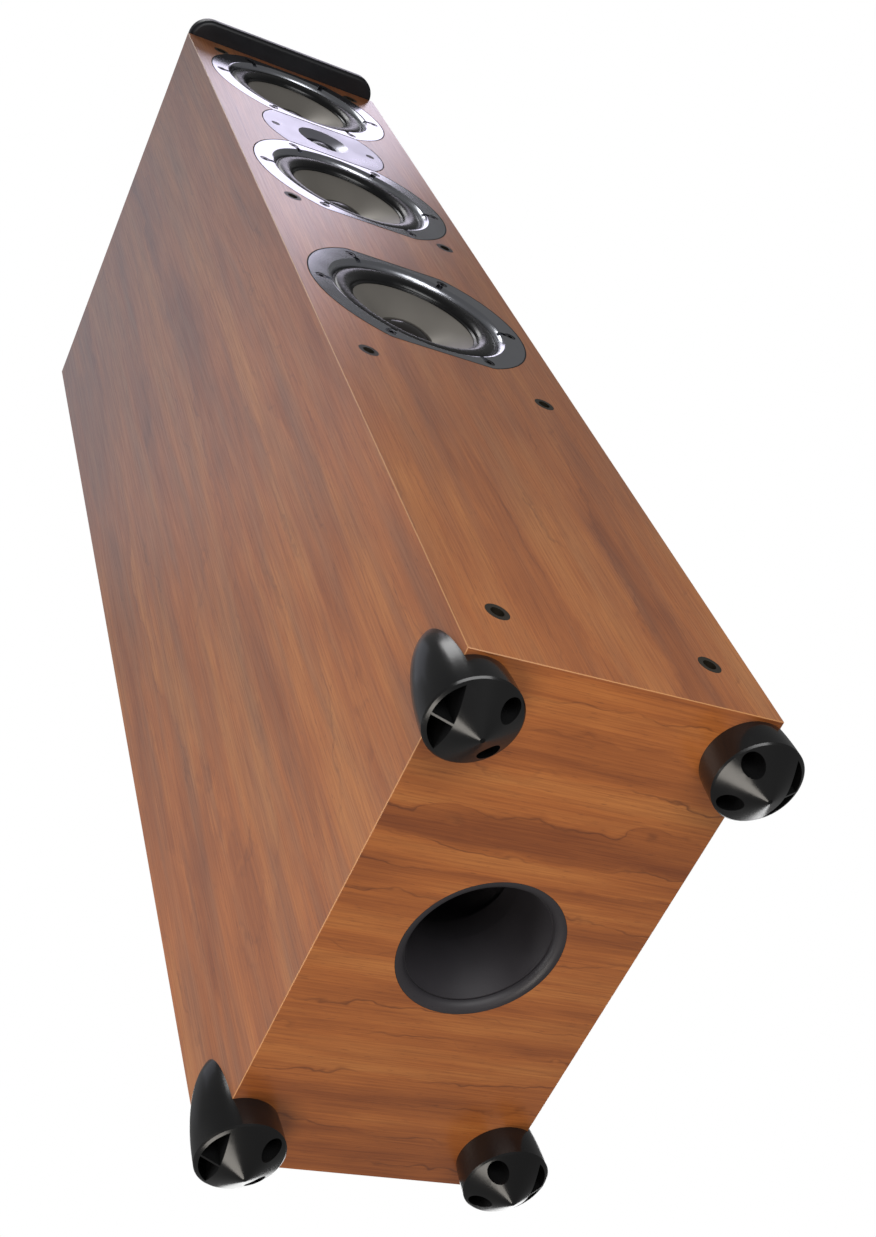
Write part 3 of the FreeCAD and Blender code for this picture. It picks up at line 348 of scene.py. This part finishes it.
def growthRings(add, across, along, noises, board):
    # distance from the heart of the log, which tapers along the board, counted in rings
    heart, depth, taper = board["heart"]
    side = add("Math", {0: across, 1: heart}, operation="SUBTRACT")
    below = add("Math", {0: along, 1: taper, 2: depth}, operation="MULTIPLY_ADD")
    distance = add("VectorMath", {0: add("CombineXYZ", {0: side, 1: below})}, operation="LENGTH")
    rings = add("Math", {0: distance, 1: 1 / board["ring"]}, operation="MULTIPLY")
    shifts = {"wander": board["swing"], "wobble": veneer["wobble"] * board["fray"], "fray": board["fray"]}
    for key, amount in shifts.items():
        rings = add("Math", {0: noises[key], 1: amount, 2: rings}, operation="MULTIPLY_ADD")
    return rings


def knotFalloff(add, across, along, noises, place):
    # the exponent of a bell round the knot's heart, which is longer along the grain
    acrossAt, alongAt, size = place
    acrossDrift, alongDrift = knot["drift"]
    bentAcross = add("Math", {0: noises["wobble"], 1: acrossDrift, 2: across}, operation="MULTIPLY_ADD")
    bentAlong = add("Math", {0: noises["fray"], 1: alongDrift, 2: along}, operation="MULTIPLY_ADD")
    heart = (acrossAt + acrossDrift / 2, alongAt + alongDrift / 2, 0.0)
    offset = add("VectorMath", {0: add("CombineXYZ", {0: bentAcross, 1: bentAlong}), 1: heart},
                 operation="SUBTRACT")
    offset = add("VectorMath", {0: offset, 1: (1.0, knot["squeeze"], 0.0)}, operation="MULTIPLY")
    squared = add("VectorMath", {0: offset, 1: offset}, operation="DOT_PRODUCT")
    return add("Math", {0: squared, 1: -knot["falloff"] / size ** 2}, operation="MULTIPLY")


def growthLines(add, rings, strength):
    shade = add("ValToRGB", {0: add("Math", {0: rings}, operation="FRACT")}, veneer["ringShades"])
    finer = add("Math", {0: rings, 1: veneer["fineLines"]}, operation="MULTIPLY")
    fineShade = add("ValToRGB", {0: add("Math", {0: finer}, operation="FRACT")}, veneer["fineShades"])
    line = add("Math", {0: shade, 1: strength}, operation="MULTIPLY")
    fineLine = add("Math", {0: fineShade, 1: strength}, operation="MULTIPLY")
    return add("Math", {0: fineLine, 1: veneer["fineAmount"], 2: line}, operation="MULTIPLY_ADD")


def ringTone(add, rings):
    # each ring has a tone of its own, which turns into the next one's near the ring's end
    low, high = veneer["toneBlend"]
    turn = add("MapRange", {"Value": add("Math", {0: rings}, operation="FRACT"), 1: low, 2: high})
    nextRings = add("Math", {0: rings, 1: 1.0}, operation="ADD")
    tones = [add("TexWhiteNoise", {"W": add("Math", {0: count}, operation="FLOOR")}, noise_dimensions="1D")
             for count in (rings, nextRings)]
    return add("Mix", {"Factor": turn, "A": tones[0], "B": tones[1]})


def paintedEdgeHighlight(add, name, place, axes):
    # how strongly the painted edge highlight shows, by the distance from the nearest edge of the board
    low, high = (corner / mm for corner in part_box(name))
    centred = add("VectorMath", {0: place, 1: (low + high) / 2}, operation="SUBTRACT")
    outward = add("VectorMath", {0: centred}, operation="ABSOLUTE")
    gaps = add("SeparateXYZ", {0: add("VectorMath", {0: (high - low) / 2, 1: outward},
                                      operation="SUBTRACT")})
    nearest = add("Math", {0: gaps.outputs[axes[0]], 1: gaps.outputs[axes[1]]}, operation="MINIMUM")
    return add("MapRange", {"Value": nearest, 1: veneer["edgeHighlightWidth"],
                            2: veneer["edgeHighlightWidth"] * veneer["edgeHighlightFade"], 3: veneer["edgeHighlightAmount"], 4: 0.0})


def veneerMaterial(name, board):
    material, tree, surface, place = newMaterial("cherryVeneerLacquered_" + name)
    add = partial(addNode, tree)
    split = add("SeparateXYZ", {0: place})
    across, along = (split.outputs[axis] for axis in board["axes"])
    grainPlace = add("CombineXYZ", {0: across, 1: along})
    noises = {key: grainNoise(add, grainPlace, pattern, board) for key, pattern in grain.items()}
    amounts = {"breaks": (veneer["faintLine"], board["line"]), "streak": (0.0, board["dull"]),
               "fleck": (0.0, board["fleck"]), "pore": (0.0, veneer["poreAmount"]),
               "fibre": veneer["roughness"]}
    masks = {}
    for key, (least, most) in amounts.items():
        low, high = grain[key]["shows"]
        masks[key] = add("MapRange", {"Value": noises[key], 1: low, 2: high, 3: least, 4: most})

    rings = growthRings(add, across, along, noises, board)
    hearts = []
    for knotPlace in board.get("knots", ()):
        falloff = knotFalloff(add, across, along, noises, knotPlace)
        near = add("Math", {0: falloff}, operation="EXPONENT")
        rings = add("Math", {0: near, 1: knot["push"], 2: rings}, operation="MULTIPLY_ADD")
        steeper = add("Math", {0: falloff, 1: knot["heartFalloff"]}, operation="MULTIPLY")
        dark = add("Math", {0: steeper}, operation="EXPONENT")
        hearts.append(add("Math", {0: dark, 1: knot["heartAmount"]}, operation="MULTIPLY"))
    line = growthLines(add, rings, masks["breaks"])
    for heart in hearts:
        line = add("Math", {0: line, 1: heart}, operation="MAXIMUM")

    # lighter and darker wood, each pattern swinging about the middle tone
    swings = [(noises["band"], board["band"]), (ringTone(add, rings), board["tone"]),
              (noises["cloud"], veneer["cloudAmount"])]
    # painted light: the wood is painted lighter across the middle of the bottom, where the light falls
    # brightest
    if "paintedLightBand" in board:
        middle, halfWidth, strength = board["paintedLightBand"]
        offset = add("Math", {0: across, 1: middle}, operation="SUBTRACT")
        offset = add("Math", {0: offset, 1: 1 / halfWidth}, operation="MULTIPLY")
        squared = add("Math", {0: offset, 1: offset}, operation="MULTIPLY")
        falloff = add("Math", {0: squared, 1: -1.0}, operation="MULTIPLY")
        swings.append((add("Math", {0: falloff}, operation="EXPONENT"), strength))
    tone = 0.5
    for pattern, amount in swings:
        swing = add("Math", {0: pattern, 1: 0.5}, operation="SUBTRACT")
        tone = add("Math", {0: swing, 1: amount, 2: tone}, operation="MULTIPLY_ADD")
    shades = (veneer["dark"], veneer["mid"], veneer["light"])
    wood = add("ValToRGB", {0: tone}, list(zip(veneer["tones"], shades)))

    # laid over the wood one by one: where each shows, its colour and how it blends
    fibreTone = add("ValToRGB", {0: noises["fibre"]}, veneer["fibreShades"])
    layers = (
        (masks["streak"], veneer["dull"], "MIX"),
        (line, veneer["line"], "MIX"),
        (masks["fleck"], veneer["line"], "MIX"),
        (1.0, fibreTone, "MULTIPLY"),
        (masks["pore"], veneer["pore"], "MIX"),
        # the painted highlight: a pale line along the board's edges
        (paintedEdgeHighlight(add, name, place, board["axes"]), veneer["edgeHighlight"], "MIX"),
    )
    for amount, colour, blend in layers:
        wood = add("Mix", {"Factor": amount, "A": wood, "B": colour}, data_type="RGBA", blend_type=blend)

    fibreHeight = add("Math", {0: noises["fibre"], 1: veneer["fibreHeight"]}, operation="MULTIPLY")
    height = add("Math", {0: fibreHeight, 1: masks["pore"]}, operation="SUBTRACT")
    bump = add("Bump", {"Strength": veneer["bumpStrength"], "Distance": veneer["bumpDepth"] * mm,
                        "Height": height})
    setInputs(tree, surface, {
        "Base Color": wood, "Roughness": masks["fibre"], "Normal": bump, "Coat Weight": veneer["coat"],
        "Coat Roughness": veneer["coatRoughness"], "Coat IOR": veneer["coatIor"],
    })
    return material


# One entry for each finish: what it is, how its surface was made, and the nodes that have it. Grain is
# the width of its fine texture and bump the height of it, in millimetres. A texture that is too fine
# to show is drawn as coarse as it needs to be.
finishes = {
    "absMouldedGloss": {     # injection-moulded ABS from a polished tool: deep black with a faint ripple
        "nodes": ["foot_" + corner for corner in ("front_left", "front_right", "rear_left", "rear_right")],
        "colour": "0D0D0E", "tint": "171717", "roughness": 0.21, "grain": 14.0, "bump": 0.02,
    },
    "absMouldedSatin": {     # ABS, moulded and painted satin black: a soft broad shine along the cap
        "nodes": ["top_cap"],
        "colour": "0E0E13", "tint": "15151B", "roughness": 0.42, "grain": 1.2, "bump": 0.015,
    },
    "polystyreneMouldedGrained": {    # polystyrene from a spark-eroded tool: an even grain scatters light
        "nodes": ["port_flare", "port_tube"],
        "colour": "29272A", "tint": "353236", "roughness": 0.52, "grain": 0.9, "bump": 0.03,
    },
    "nylonMoulded": {        # moulded nylon: black with a slightly brown cast
        "nodes": ["grille_sockets"],
        "colour": "1B1712", "tint": "302A20", "roughness": 0.38, "grain": 0.8, "bump": 0.02,
    },
    "zincSteelBlack": {      # pressed steel, black zinc plated: dark with small bright edges
        "nodes": ["foot_screws", "woofer_screws", "small_screws"],
        "colour": "2B2C30", "tint": "45464B", "roughness": 0.28, "grain": 0.5, "bump": 0.01,
        "metallic": 1.0,
    },
    "blackOxideSteel": {     # steel, oxidised and oiled: near black, with hardly any shine
        "nodes": ["tweeter_screws"],
        "colour": "0C0C0E", "tint": "161619", "roughness": 0.45, "grain": 0.5, "bump": 0.01,
    },
    "aluminiumCastPainted": {    # die-cast aluminium, painted silver-grey: fine flake under a glossy film
        "nodes": [place + "_woofer_basket" for place in wooferPlaces],
        "colour": "A8A9B2", "tint": "B2B5BA", "roughness": 0.13, "grain": 0.6, "bump": 0.0003,
        "metallic": 1.0,
        "behind": (0.5, 2.5, 2.3),    # between these depths it turns to this many times as rough
    },
    "aluminiumBrightAnodised": {    # turned and anodised aluminium: pale, slightly lilac and smooth
        "nodes": ["tweeter_faceplate"],
        "colour": "B2B2BE", "tint": "BEBEC9", "roughness": 0.30, "grain": 0.5, "bump": 0.0015,
        "metallic": 1.0,
    },
    "polypropylenePressed": {    # mineral-filled polypropylene, pressed: warm grey with a soft sheen
        "nodes": [place + "_woofer_cone" for place in wooferPlaces],
        "colour": "8B867F", "tint": "96918A", "roughness": 0.50, "grain": 2.5, "bump": 0.006,
        "metallic": 0.6,
    },
    "polyesterCapGlossed": {     # pressed polyester cloth, lacquered: dark brown-black and glossy
        "nodes": [place + "_woofer_dust_cap" for place in wooferPlaces],
        "colour": "15110F", "tint": "1D1815", "roughness": 0.14, "grain": 6.0, "bump": 0.01,
    },
    "aluminiumDomeSpun": {       # thin spun aluminium: pewter grey and softly bright
        "nodes": ["tweeter_dome"],
        "colour": "7E7E82", "tint": "8A8A8F", "roughness": 0.30, "grain": 0.6, "bump": 0.004,
        "metallic": 0.9,
    },
    "copperWireWound": {         # enamelled copper wire, wound: warm brown-red with fine ridges
        "nodes": [place + "_woofer_voice_coil" for place in wooferPlaces]
                 + ["tweeter_voice_coil", "crossover_inductors"],
        "colour": "9C5A35", "tint": "C57C4C", "roughness": 0.32, "grain": 0.8, "bump": 0.05,
        "metallic": 0.9,
    },
    "ferriteFired": {        # sintered ferrite: matt dark grey with a mealy surface
        "nodes": ["woofer_magnets", "tweeter_magnet"],
        "colour": "222226", "tint": "303034", "roughness": 0.62, "grain": 1.0, "bump": 0.05,
    },
    "steelTurnedZinc": {     # turned steel, zinc plated: cool grey with a faint yellow cast
        "nodes": ["woofer_motor_steel", "tweeter_motor_steel"],
        "colour": "9A9B9A", "tint": "B4B4AE", "roughness": 0.34, "grain": 0.7, "bump": 0.02,
        "metallic": 1.0,
    },
    "phenolicBoard": {       # paper board pressed with resin: toffee brown with a dull shine
        "nodes": ["woofer_tag_blocks"],
        "colour": "6B4526", "tint": "7E5532", "roughness": 0.5, "grain": 1.5, "bump": 0.02,
    },
    "cottonPressedPhenolic": {   # open cotton weave, stiffened with resin: mustard and rough
        "nodes": [place + "_woofer_spider" for place in wooferPlaces],
        "colour": "B08A3C", "tint": "C7A253", "roughness": 0.8, "grain": 0.8, "bump": 0.12,
    },
    "absMouldedFine": {      # ABS from a fine-blasted tool: black with a soft even shine
        "nodes": ["terminal_cup", "tweeter_rear_cup", "left_post_knob"],
        "colour": "111113", "tint": "1B1B1E", "roughness": 0.36, "grain": 0.7, "bump": 0.02,
    },
    "absMouldedRed": {       # the same in red
        "nodes": ["right_post_knob"],
        "colour": "8E1013", "tint": "A3191B", "roughness": 0.32, "grain": 0.8, "bump": 0.015,
    },
    "brassGilt": {           # turned brass with a thin gold plate: warm, bright and smooth
        "nodes": ["binding_posts", "post_nuts", "left_post_collar", "right_post_collar"],
        "colour": "C89A45", "tint": "DDB463", "roughness": 0.20, "grain": 0.4, "bump": 0.008,
        "metallic": 1.0,
    },
    "fibreboardRouted": {    # medium-density fibreboard, cut and left bare: felted, brown and matt
        "nodes": ["window_braces"],
        "colour": "A98256", "tint": "BF9869", "roughness": 0.85, "grain": 0.9, "bump": 0.08,
    },
    "glassEpoxyBoard": {     # glass cloth laminated in epoxy: green with a satin mask
        "nodes": ["crossover_board"],
        "colour": "1F5A33", "tint": "2A6B3E", "roughness": 0.40, "grain": 0.9, "bump": 0.02,
    },
    "polyesterFilmWrapped": {    # polyester film, wound and sealed: deep blue and slick
        "nodes": ["crossover_capacitors"],
        "colour": "202A66", "tint": "2C3880", "roughness": 0.28, "grain": 2.0, "bump": 0.02,
    },
    "ceramicFired": {        # unglazed ceramic: off-white and chalky
        "nodes": ["crossover_resistors"],
        "colour": "D8D5CB", "tint": "E6E3DA", "roughness": 0.7, "grain": 0.9, "bump": 0.05,
    },
    "pvcExtruded": {         # extruded PVC: black insulation with a dull shine
        "nodes": ["internal_leads"],
        "colour": "17171A", "tint": "222226", "roughness": 0.40, "grain": 1.0, "bump": 0.01,
    },
}
# Slow clouds of colour and gloss over every plain finish, their width in millimetres.
cloudiness = {"width": 40.0, "between": (0.35, 0.65), "roughnessSwing": 0.12, "bumpStrength": 0.6}


def plainFinish(name, finish):
    material, tree, surface, place = newMaterial(name)
    add = partial(addNode, tree)
    texture = add("TexNoise", {"Vector": place, "Scale": 1 / finish["grain"], "Detail": 3.0})
    cloud = add("TexNoise", {"Vector": place, "Scale": 1 / cloudiness["width"], "Detail": 2.0})
    low, high = cloudiness["between"]
    smoother, rougher = 1 - cloudiness["roughnessSwing"], 1 + cloudiness["roughnessSwing"]
    rough = add("MapRange", {"Value": cloud, 1: low, 2: high, 3: finish["roughness"] * smoother,
                             4: finish["roughness"] * rougher})
    if "behind" in finish:
        start, end, times = finish["behind"]
        depth = add("SeparateXYZ", {0: place}).outputs["Y"]
        deeper = add("MapRange", {"Value": depth, 1: frontFace / mm + start, 2: frontFace / mm + end,
                                  3: 1.0, 4: times})
        rough = add("Math", {0: rough, 1: deeper}, operation="MULTIPLY")
    setInputs(tree, surface, {
        "Base Color": add("Mix", {"Factor": cloud, "A": finish["colour"], "B": finish["tint"]},
                          data_type="RGBA"),
        "Roughness": rough,
        "Normal": add("Bump", {"Strength": cloudiness["bumpStrength"], "Distance": finish["bump"] * mm,
                               "Height": texture}),
        "Metallic": finish.get("metallic", 0.0),
    })
    return material


def cutCircle(centre, radius, flat, y, segments):
    # a circle across Y, cut straight above and below at flat, evenly stepped by angle
    points = []
    for index in range(segments):
        angle = 2 * math.pi * index / segments
        x, z = math.cos(angle), math.sin(angle)
        reach = min(radius, flat / abs(z)) if z else radius
        points.append((centre.x + reach * x, y, centre.z + reach * z))
    return points


def ringPiece(name, loops, material, smooth):
    # a closed ring: each loop of points is joined to the next, and the last one to the first
    build = bmesh.new()
    corners = [[build.verts.new(point) for point in loop] for loop in loops]
    for first, second in zip(corners, corners[1:] + corners[:1]):
        for index in range(len(first)):
            after = (index + 1) % len(first)
            build.faces.new((first[index], first[after], second[after], second[index]))
    return addPiece(name, build, material, smooth)


# Each roll is two rings that meet at its crest: the outer one stays with the frame, and the inner
# one meets the cone and is only placed there, not tied to it. Depths are from the front face.
rolls = {
    "woofers": {
        "groups": {place + "_woofer": place + "_cone_group" for place in wooferPlaces},
        "outerFoot": 1.7,
        "outerDepth": 4.7,
        "crestRadius": 58.9,
        "crestDepth": 2.6,
        "innerRadius": 51.2,
        "landWidth": 2.2,
        "thickness": 0.8,
        "bead": 0.35,
        "slot": "roll_rubber",
    },
    "tweeter": {
        "groups": {"tweeter": "dome_group"},
        "outerFoot": 3.6,
        "outerDepth": 8.1,
        "crestRadius": 13.55,
        "crestDepth": 7.0,
        "innerRadius": 12.75,
        "landWidth": 0.05,
        "thickness": 0.4,
        "bead": 0.0,
        "slot": "membrane",
    },
}
rollMesh = {"segments": 160, "steps": 12, "firstTurn": 0.01}
rubber = {"colour": "070708", "tint": "101012", "roughness": (0.24, 0.32), "marks": 9.0,
          "between": (0.3, 0.7), "dust": 0.5, "bump": 0.01, "bumpStrength": 0.4}


def rubberMaterial():
    # Butyl rubber from a polished mould: near black, wet-looking, with faint flow marks round the roll.
    material, tree, surface, place = newMaterial("butylRubberMoulded")
    add = partial(addNode, tree)
    marks = add("TexNoise", {"Vector": place, "Scale": 1 / rubber["marks"], "Detail": 3.0})
    dust = add("TexNoise", {"Vector": place, "Scale": 1 / rubber["dust"], "Detail": 2.0})
    low, high = rubber["between"]
    smoother, rougher = rubber["roughness"]
    setInputs(tree, surface, {
        "Base Color": add("Mix", {"Factor": marks, "A": rubber["colour"], "B": rubber["tint"]},
                          data_type="RGBA"),
        "Roughness": add("MapRange", {"Value": marks, 1: low, 2: high, 3: smoother, 4: rougher}),
        "Normal": add("Bump", {"Strength": rubber["bumpStrength"], "Distance": rubber["bump"] * mm,
                               "Height": dust}),
    })
    return material


def quarterRoll(crest, foot):
    # an ellipse's quarter from the crest to the foot, with one extra step close to the crest so
    # that the two rings shade as one surface there
    steps = rollMesh["steps"]
    turns = [0.0, rollMesh["firstTurn"]] + [math.pi / 2 * (step + 1) / steps for step in range(steps)]
    (crestRadius, crestY), (footRadius, footY) = crest, foot
    return [(crestRadius + (footRadius - crestRadius) * math.sin(turn),
             crestY + (footY - crestY) * (1 - math.cos(turn))) for turn in turns]


def closedBand(front, thickness):
    # gives an open front line its thickness, measured square to the line
    back = []
    for index, (radius, y) in enumerate(front):
        before, after = front[max(index - 1, 0)], front[min(index + 1, len(front) - 1)]
        along = Vector((after[0] - before[0], after[1] - before[1])).normalized()
        inward = Vector((along.y, -along.x))
        inward *= math.copysign(1.0, inward.y or 1.0)
        back.append((radius + inward.x * thickness, y + inward.y * thickness))
    return front + back[::-1]


def makeRolls(roll, material):
    thickness = roll["thickness"] * mm
    for name, group in roll["groups"].items():
        node = name + "_surround"
        low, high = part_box(node)
        centre = (low + high) / 2
        outerEdge = (high.x - low.x) / 2
        crest = (roll["crestRadius"] * mm, frontFace + roll["crestDepth"] * mm)
        outerFoot = (outerEdge - roll["outerFoot"] * mm, frontFace + roll["outerDepth"] * mm)
        innerFoot = (roll["innerRadius"] * mm, high.y - thickness)
        outer = quarterRoll(crest, outerFoot)
        if roll["bead"]:    # a raised bead runs round the middle third of the rim
            raised = outerFoot[1] - roll["bead"] * mm
            third = (outerEdge - outerFoot[0]) / 3
            outer += [(outerFoot[0] + third, raised), (outerFoot[0] + 2 * third, raised)]
        outer += [(outerEdge, outerFoot[1])]
        inner = quarterRoll(crest, innerFoot)
        inner += [(innerFoot[0] - roll["landWidth"] * mm, innerFoot[1])]
        halves = []
        for suffix, line in (("_outer_half", outer), ("_inner_half", inner)):
            loops = [cutCircle(centre, radius, radius, y, rollMesh["segments"])
                     for radius, y in closedBand(line, thickness)]
            halves.append(ringPiece(node + suffix, loops, material, smooth=True))
        still, moving = halves
        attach(still, "cabinet")
        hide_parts(node)
        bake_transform(moving)


# Foam tape under each driver's flange, part real tape and part painted shade: its near-black edge draws
# the shadow in the gap where the wood meets the metal as a dark line. Its lip lies on the wood, and rises
# from the first height to the second.
gasket = {"clear": 0.02, "width": 0.62, "lip": 0.45, "lipHeights": (0.01, 0.04), "proud": 0.16,
          "depth": 0.35, "segments": 200}
shadeFoam = {"colour": "0B0B0C", "tint": "1A1A1C", "roughness": 0.85, "cell": 0.25, "bump": 0.06,
        "bumpStrength": 0.8}


def shadeFoamMaterial():
    # Closed-cell foam, skived thin: dull black with fine open pits along its cut edge. Its black also
    # stands for the shadow in the gap round each driver: painted shade.
    material, tree, surface, place = newMaterial("closedCellFoamPaintedShade")
    add = partial(addNode, tree)
    cells = add("TexVoronoi", {"Vector": place, "Scale": 1 / shadeFoam["cell"]})
    setInputs(tree, surface, {
        "Base Color": add("Mix", {"Factor": cells, "A": shadeFoam["colour"], "B": shadeFoam["tint"]},
                          data_type="RGBA"),
        "Roughness": shadeFoam["roughness"],
        "Normal": add("Bump", {"Strength": shadeFoam["bumpStrength"], "Distance": shadeFoam["bump"] * mm,
                               "Height": cells}),
    })
    return material


def makeGasket(node, material):
    low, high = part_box(node)
    centre = (low + high) / 2
    radius, flat = (high.x - low.x) / 2, (high.z - low.z) / 2
    inside = gasket["clear"]
    outside = inside + gasket["width"]
    edge = outside + gasket["lip"]
    under, rise = gasket["lipHeights"]
    section = [(inside, 0.0), ((inside + edge) / 2, -gasket["proud"]), (edge, -rise), (outside, -under),
               (outside, gasket["depth"]), (inside, gasket["depth"])]
    loops = [cutCircle(centre, radius + offset * mm, flat + offset * mm, frontFace + depth * mm,
                       gasket["segments"]) for offset, depth in section]
    piece = ringPiece(node + "_gasket_shade", loops, material, smooth=False)
    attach(piece, "cabinet")


# Loose polyester fibre, folded into two soft pads behind the drivers.
wadding = {
    "cell": 9.0,
    "corner": 14.0,       # how round its corners are
    "crown": 6.0,         # how far its faces pull in towards their edges
    "crownPower": 4,
    "faceShare": 0.97,    # a point this near a face, as a share of the half size, lies on it
    "tuft": 2.2,          # the depth of its tufts
    "tuftSize": 16.0,
    "fill": 0.35,
}
fibre = {"colour": "E4E3DE", "shade": "C9C7C0", "between": (0.12, 0.34), "roughness": 0.95,
         "sheen": 0.6, "sheenRoughness": 0.5, "strand": 3.0, "curl": 2.5, "tuft": 18.0, "bump": 0.8,
         "bumpStrength": 0.9}


def fibreMaterial():
    # White fibre, carded and crimped: a tangle of fine strands with soft shaded hollows.
    material, tree, surface, place = newMaterial("polyesterFibreCarded")
    add = partial(addNode, tree)
    tangle = add("TexNoise", {"Vector": place, "Scale": 1 / fibre["strand"], "Detail": 6.0,
                              "Distortion": fibre["curl"]})
    tufts = add("TexNoise", {"Vector": place, "Scale": 1 / fibre["tuft"], "Detail": 3.0})
    both = add("Math", {0: tangle, 1: tufts}, operation="MULTIPLY")
    dark, light = fibre["between"]
    setInputs(tree, surface, {
        "Base Color": add("ValToRGB", {0: both}, [(dark, fibre["shade"]), (light, fibre["colour"])]),
        "Normal": add("Bump", {"Strength": fibre["bumpStrength"], "Distance": fibre["bump"] * mm,
                               "Height": tangle}),
        "Roughness": fibre["roughness"],
        "Sheen Weight": fibre["sheen"],
        "Sheen Roughness": fibre["sheenRoughness"],
    })
    return material


def looseParts(mesh):
    # the low and high corners of each separate block of the node's mesh, from the lowest block up
    build = bmesh.new()
    build.from_mesh(mesh)
    bmesh.ops.remove_doubles(build, verts=build.verts, dist=sameSpot)
    left = set(build.verts)
    blocks = []
    while left:
        reach = [left.pop()]
        block = []
        while reach:
            vertex = reach.pop()
            block.append(vertex.co.copy())
            for edge in vertex.link_edges:
                other = edge.other_vert(vertex)
                if other in left:
                    left.remove(other)
                    reach.append(other)
        low = Vector(min(point[axis] for point in block) for axis in range(3))
        high = Vector(max(point[axis] for point in block) for axis in range(3))
        blocks.append((low, high))
    build.free()
    return sorted(blocks, key=lambda block: block[0].z)


def griddedBlock(size):
    # a block about the origin, with each face divided into cells
    build = bmesh.new()
    for axis in range(3):
        first, second = (index for index in range(3) if index != axis)
        columns, rows = (max(2, round(size[index] / (wadding["cell"] * mm))) for index in (first, second))
        for end in (-0.5, 0.5):
            corners = {}
            for column in range(columns + 1):
                for row in range(rows + 1):
                    point = Vector((0, 0, 0))
                    point[axis] = end * size[axis]
                    point[first] = (column / columns - 0.5) * size[first]
                    point[second] = (row / rows - 0.5) * size[second]
                    corners[column, row] = build.verts.new(point)
            for column in range(columns):
                for row in range(rows):
                    build.faces.new((corners[column, row], corners[column + 1, row],
                                     corners[column + 1, row + 1], corners[column, row + 1]))
    bmesh.ops.remove_doubles(build, verts=build.verts, dist=sameSpot)
    return build


def softened(point, half, middle):
    # the block's point, moved in by the round corners, the crown and the tufts
    corner = wadding["corner"] * mm
    inner = Vector(max(corner - half[axis], min(half[axis] - corner, point[axis])) for axis in range(3))
    away = point - inner
    if away.length > corner:
        point = inner + away.normalized() * corner
    shares = [abs(point[axis]) / half[axis] for axis in range(3)]
    crown = sum(share ** wadding["crownPower"] for share in shares if share < wadding["faceShare"])
    lump = noise.noise((point + middle) / (wadding["tuftSize"] * mm))
    sink = wadding["tuft"] * mm * (1 + lump) / 2 + wadding["crown"] * mm * crown / 2
    outward = away.normalized() if away.length else point.normalized()
    return point - outward * sink + middle


def makePad(name, low, high, material):
    middle = (low + high) / 2
    build = griddedBlock(high - low)
    for vertex in build.verts:
        vertex.co = softened(vertex.co, (high - low) / 2, middle)
    piece = addPiece(name, build, material, smooth=True)
    soften = piece.modifiers.new("soften", "SUBSURF")
    soften.levels = soften.render_levels = 1
    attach(piece, "cabinet")
    return piece


def makeWadding():
    material = fibreMaterial()
    blocks = looseParts(nodes["wadding"].data)
    pads = [makePad("wadding_pad_" + str(index + 1), low, high, material)
            for index, (low, high) in enumerate(blocks)]
    for pad in pads:
        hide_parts("wadding")
    return len(pads)


makeCamera()
makeSoftboxes(makeFloor())
makeSurroundings()
print("camera, floor and light made")

for boardName, board in boards.items():
    finishNodes([boardName], veneerMaterial(boardName, board))
print("veneer made for", len(boards), "boards")

for finishName, finish in finishes.items():
    finishNodes(finish["nodes"], plainFinish(finishName, finish))
print("plain finishes made:", len(finishes))

rollRubber = rubberMaterial()
for roll in rolls.values():
    makeRolls(roll, rollRubber)
print("rubber rolls made")

# near-black foam whose edge is painted shade: a dark line round each driver
gasketShadeFoam = shadeFoamMaterial()
for driver in [place + "_woofer_basket" for place in wooferPlaces] + ["tweeter_faceplate"]:
    makeGasket(driver, gasketShadeFoam)
print("gaskets made")

print("wadding pads made:", makeWadding())
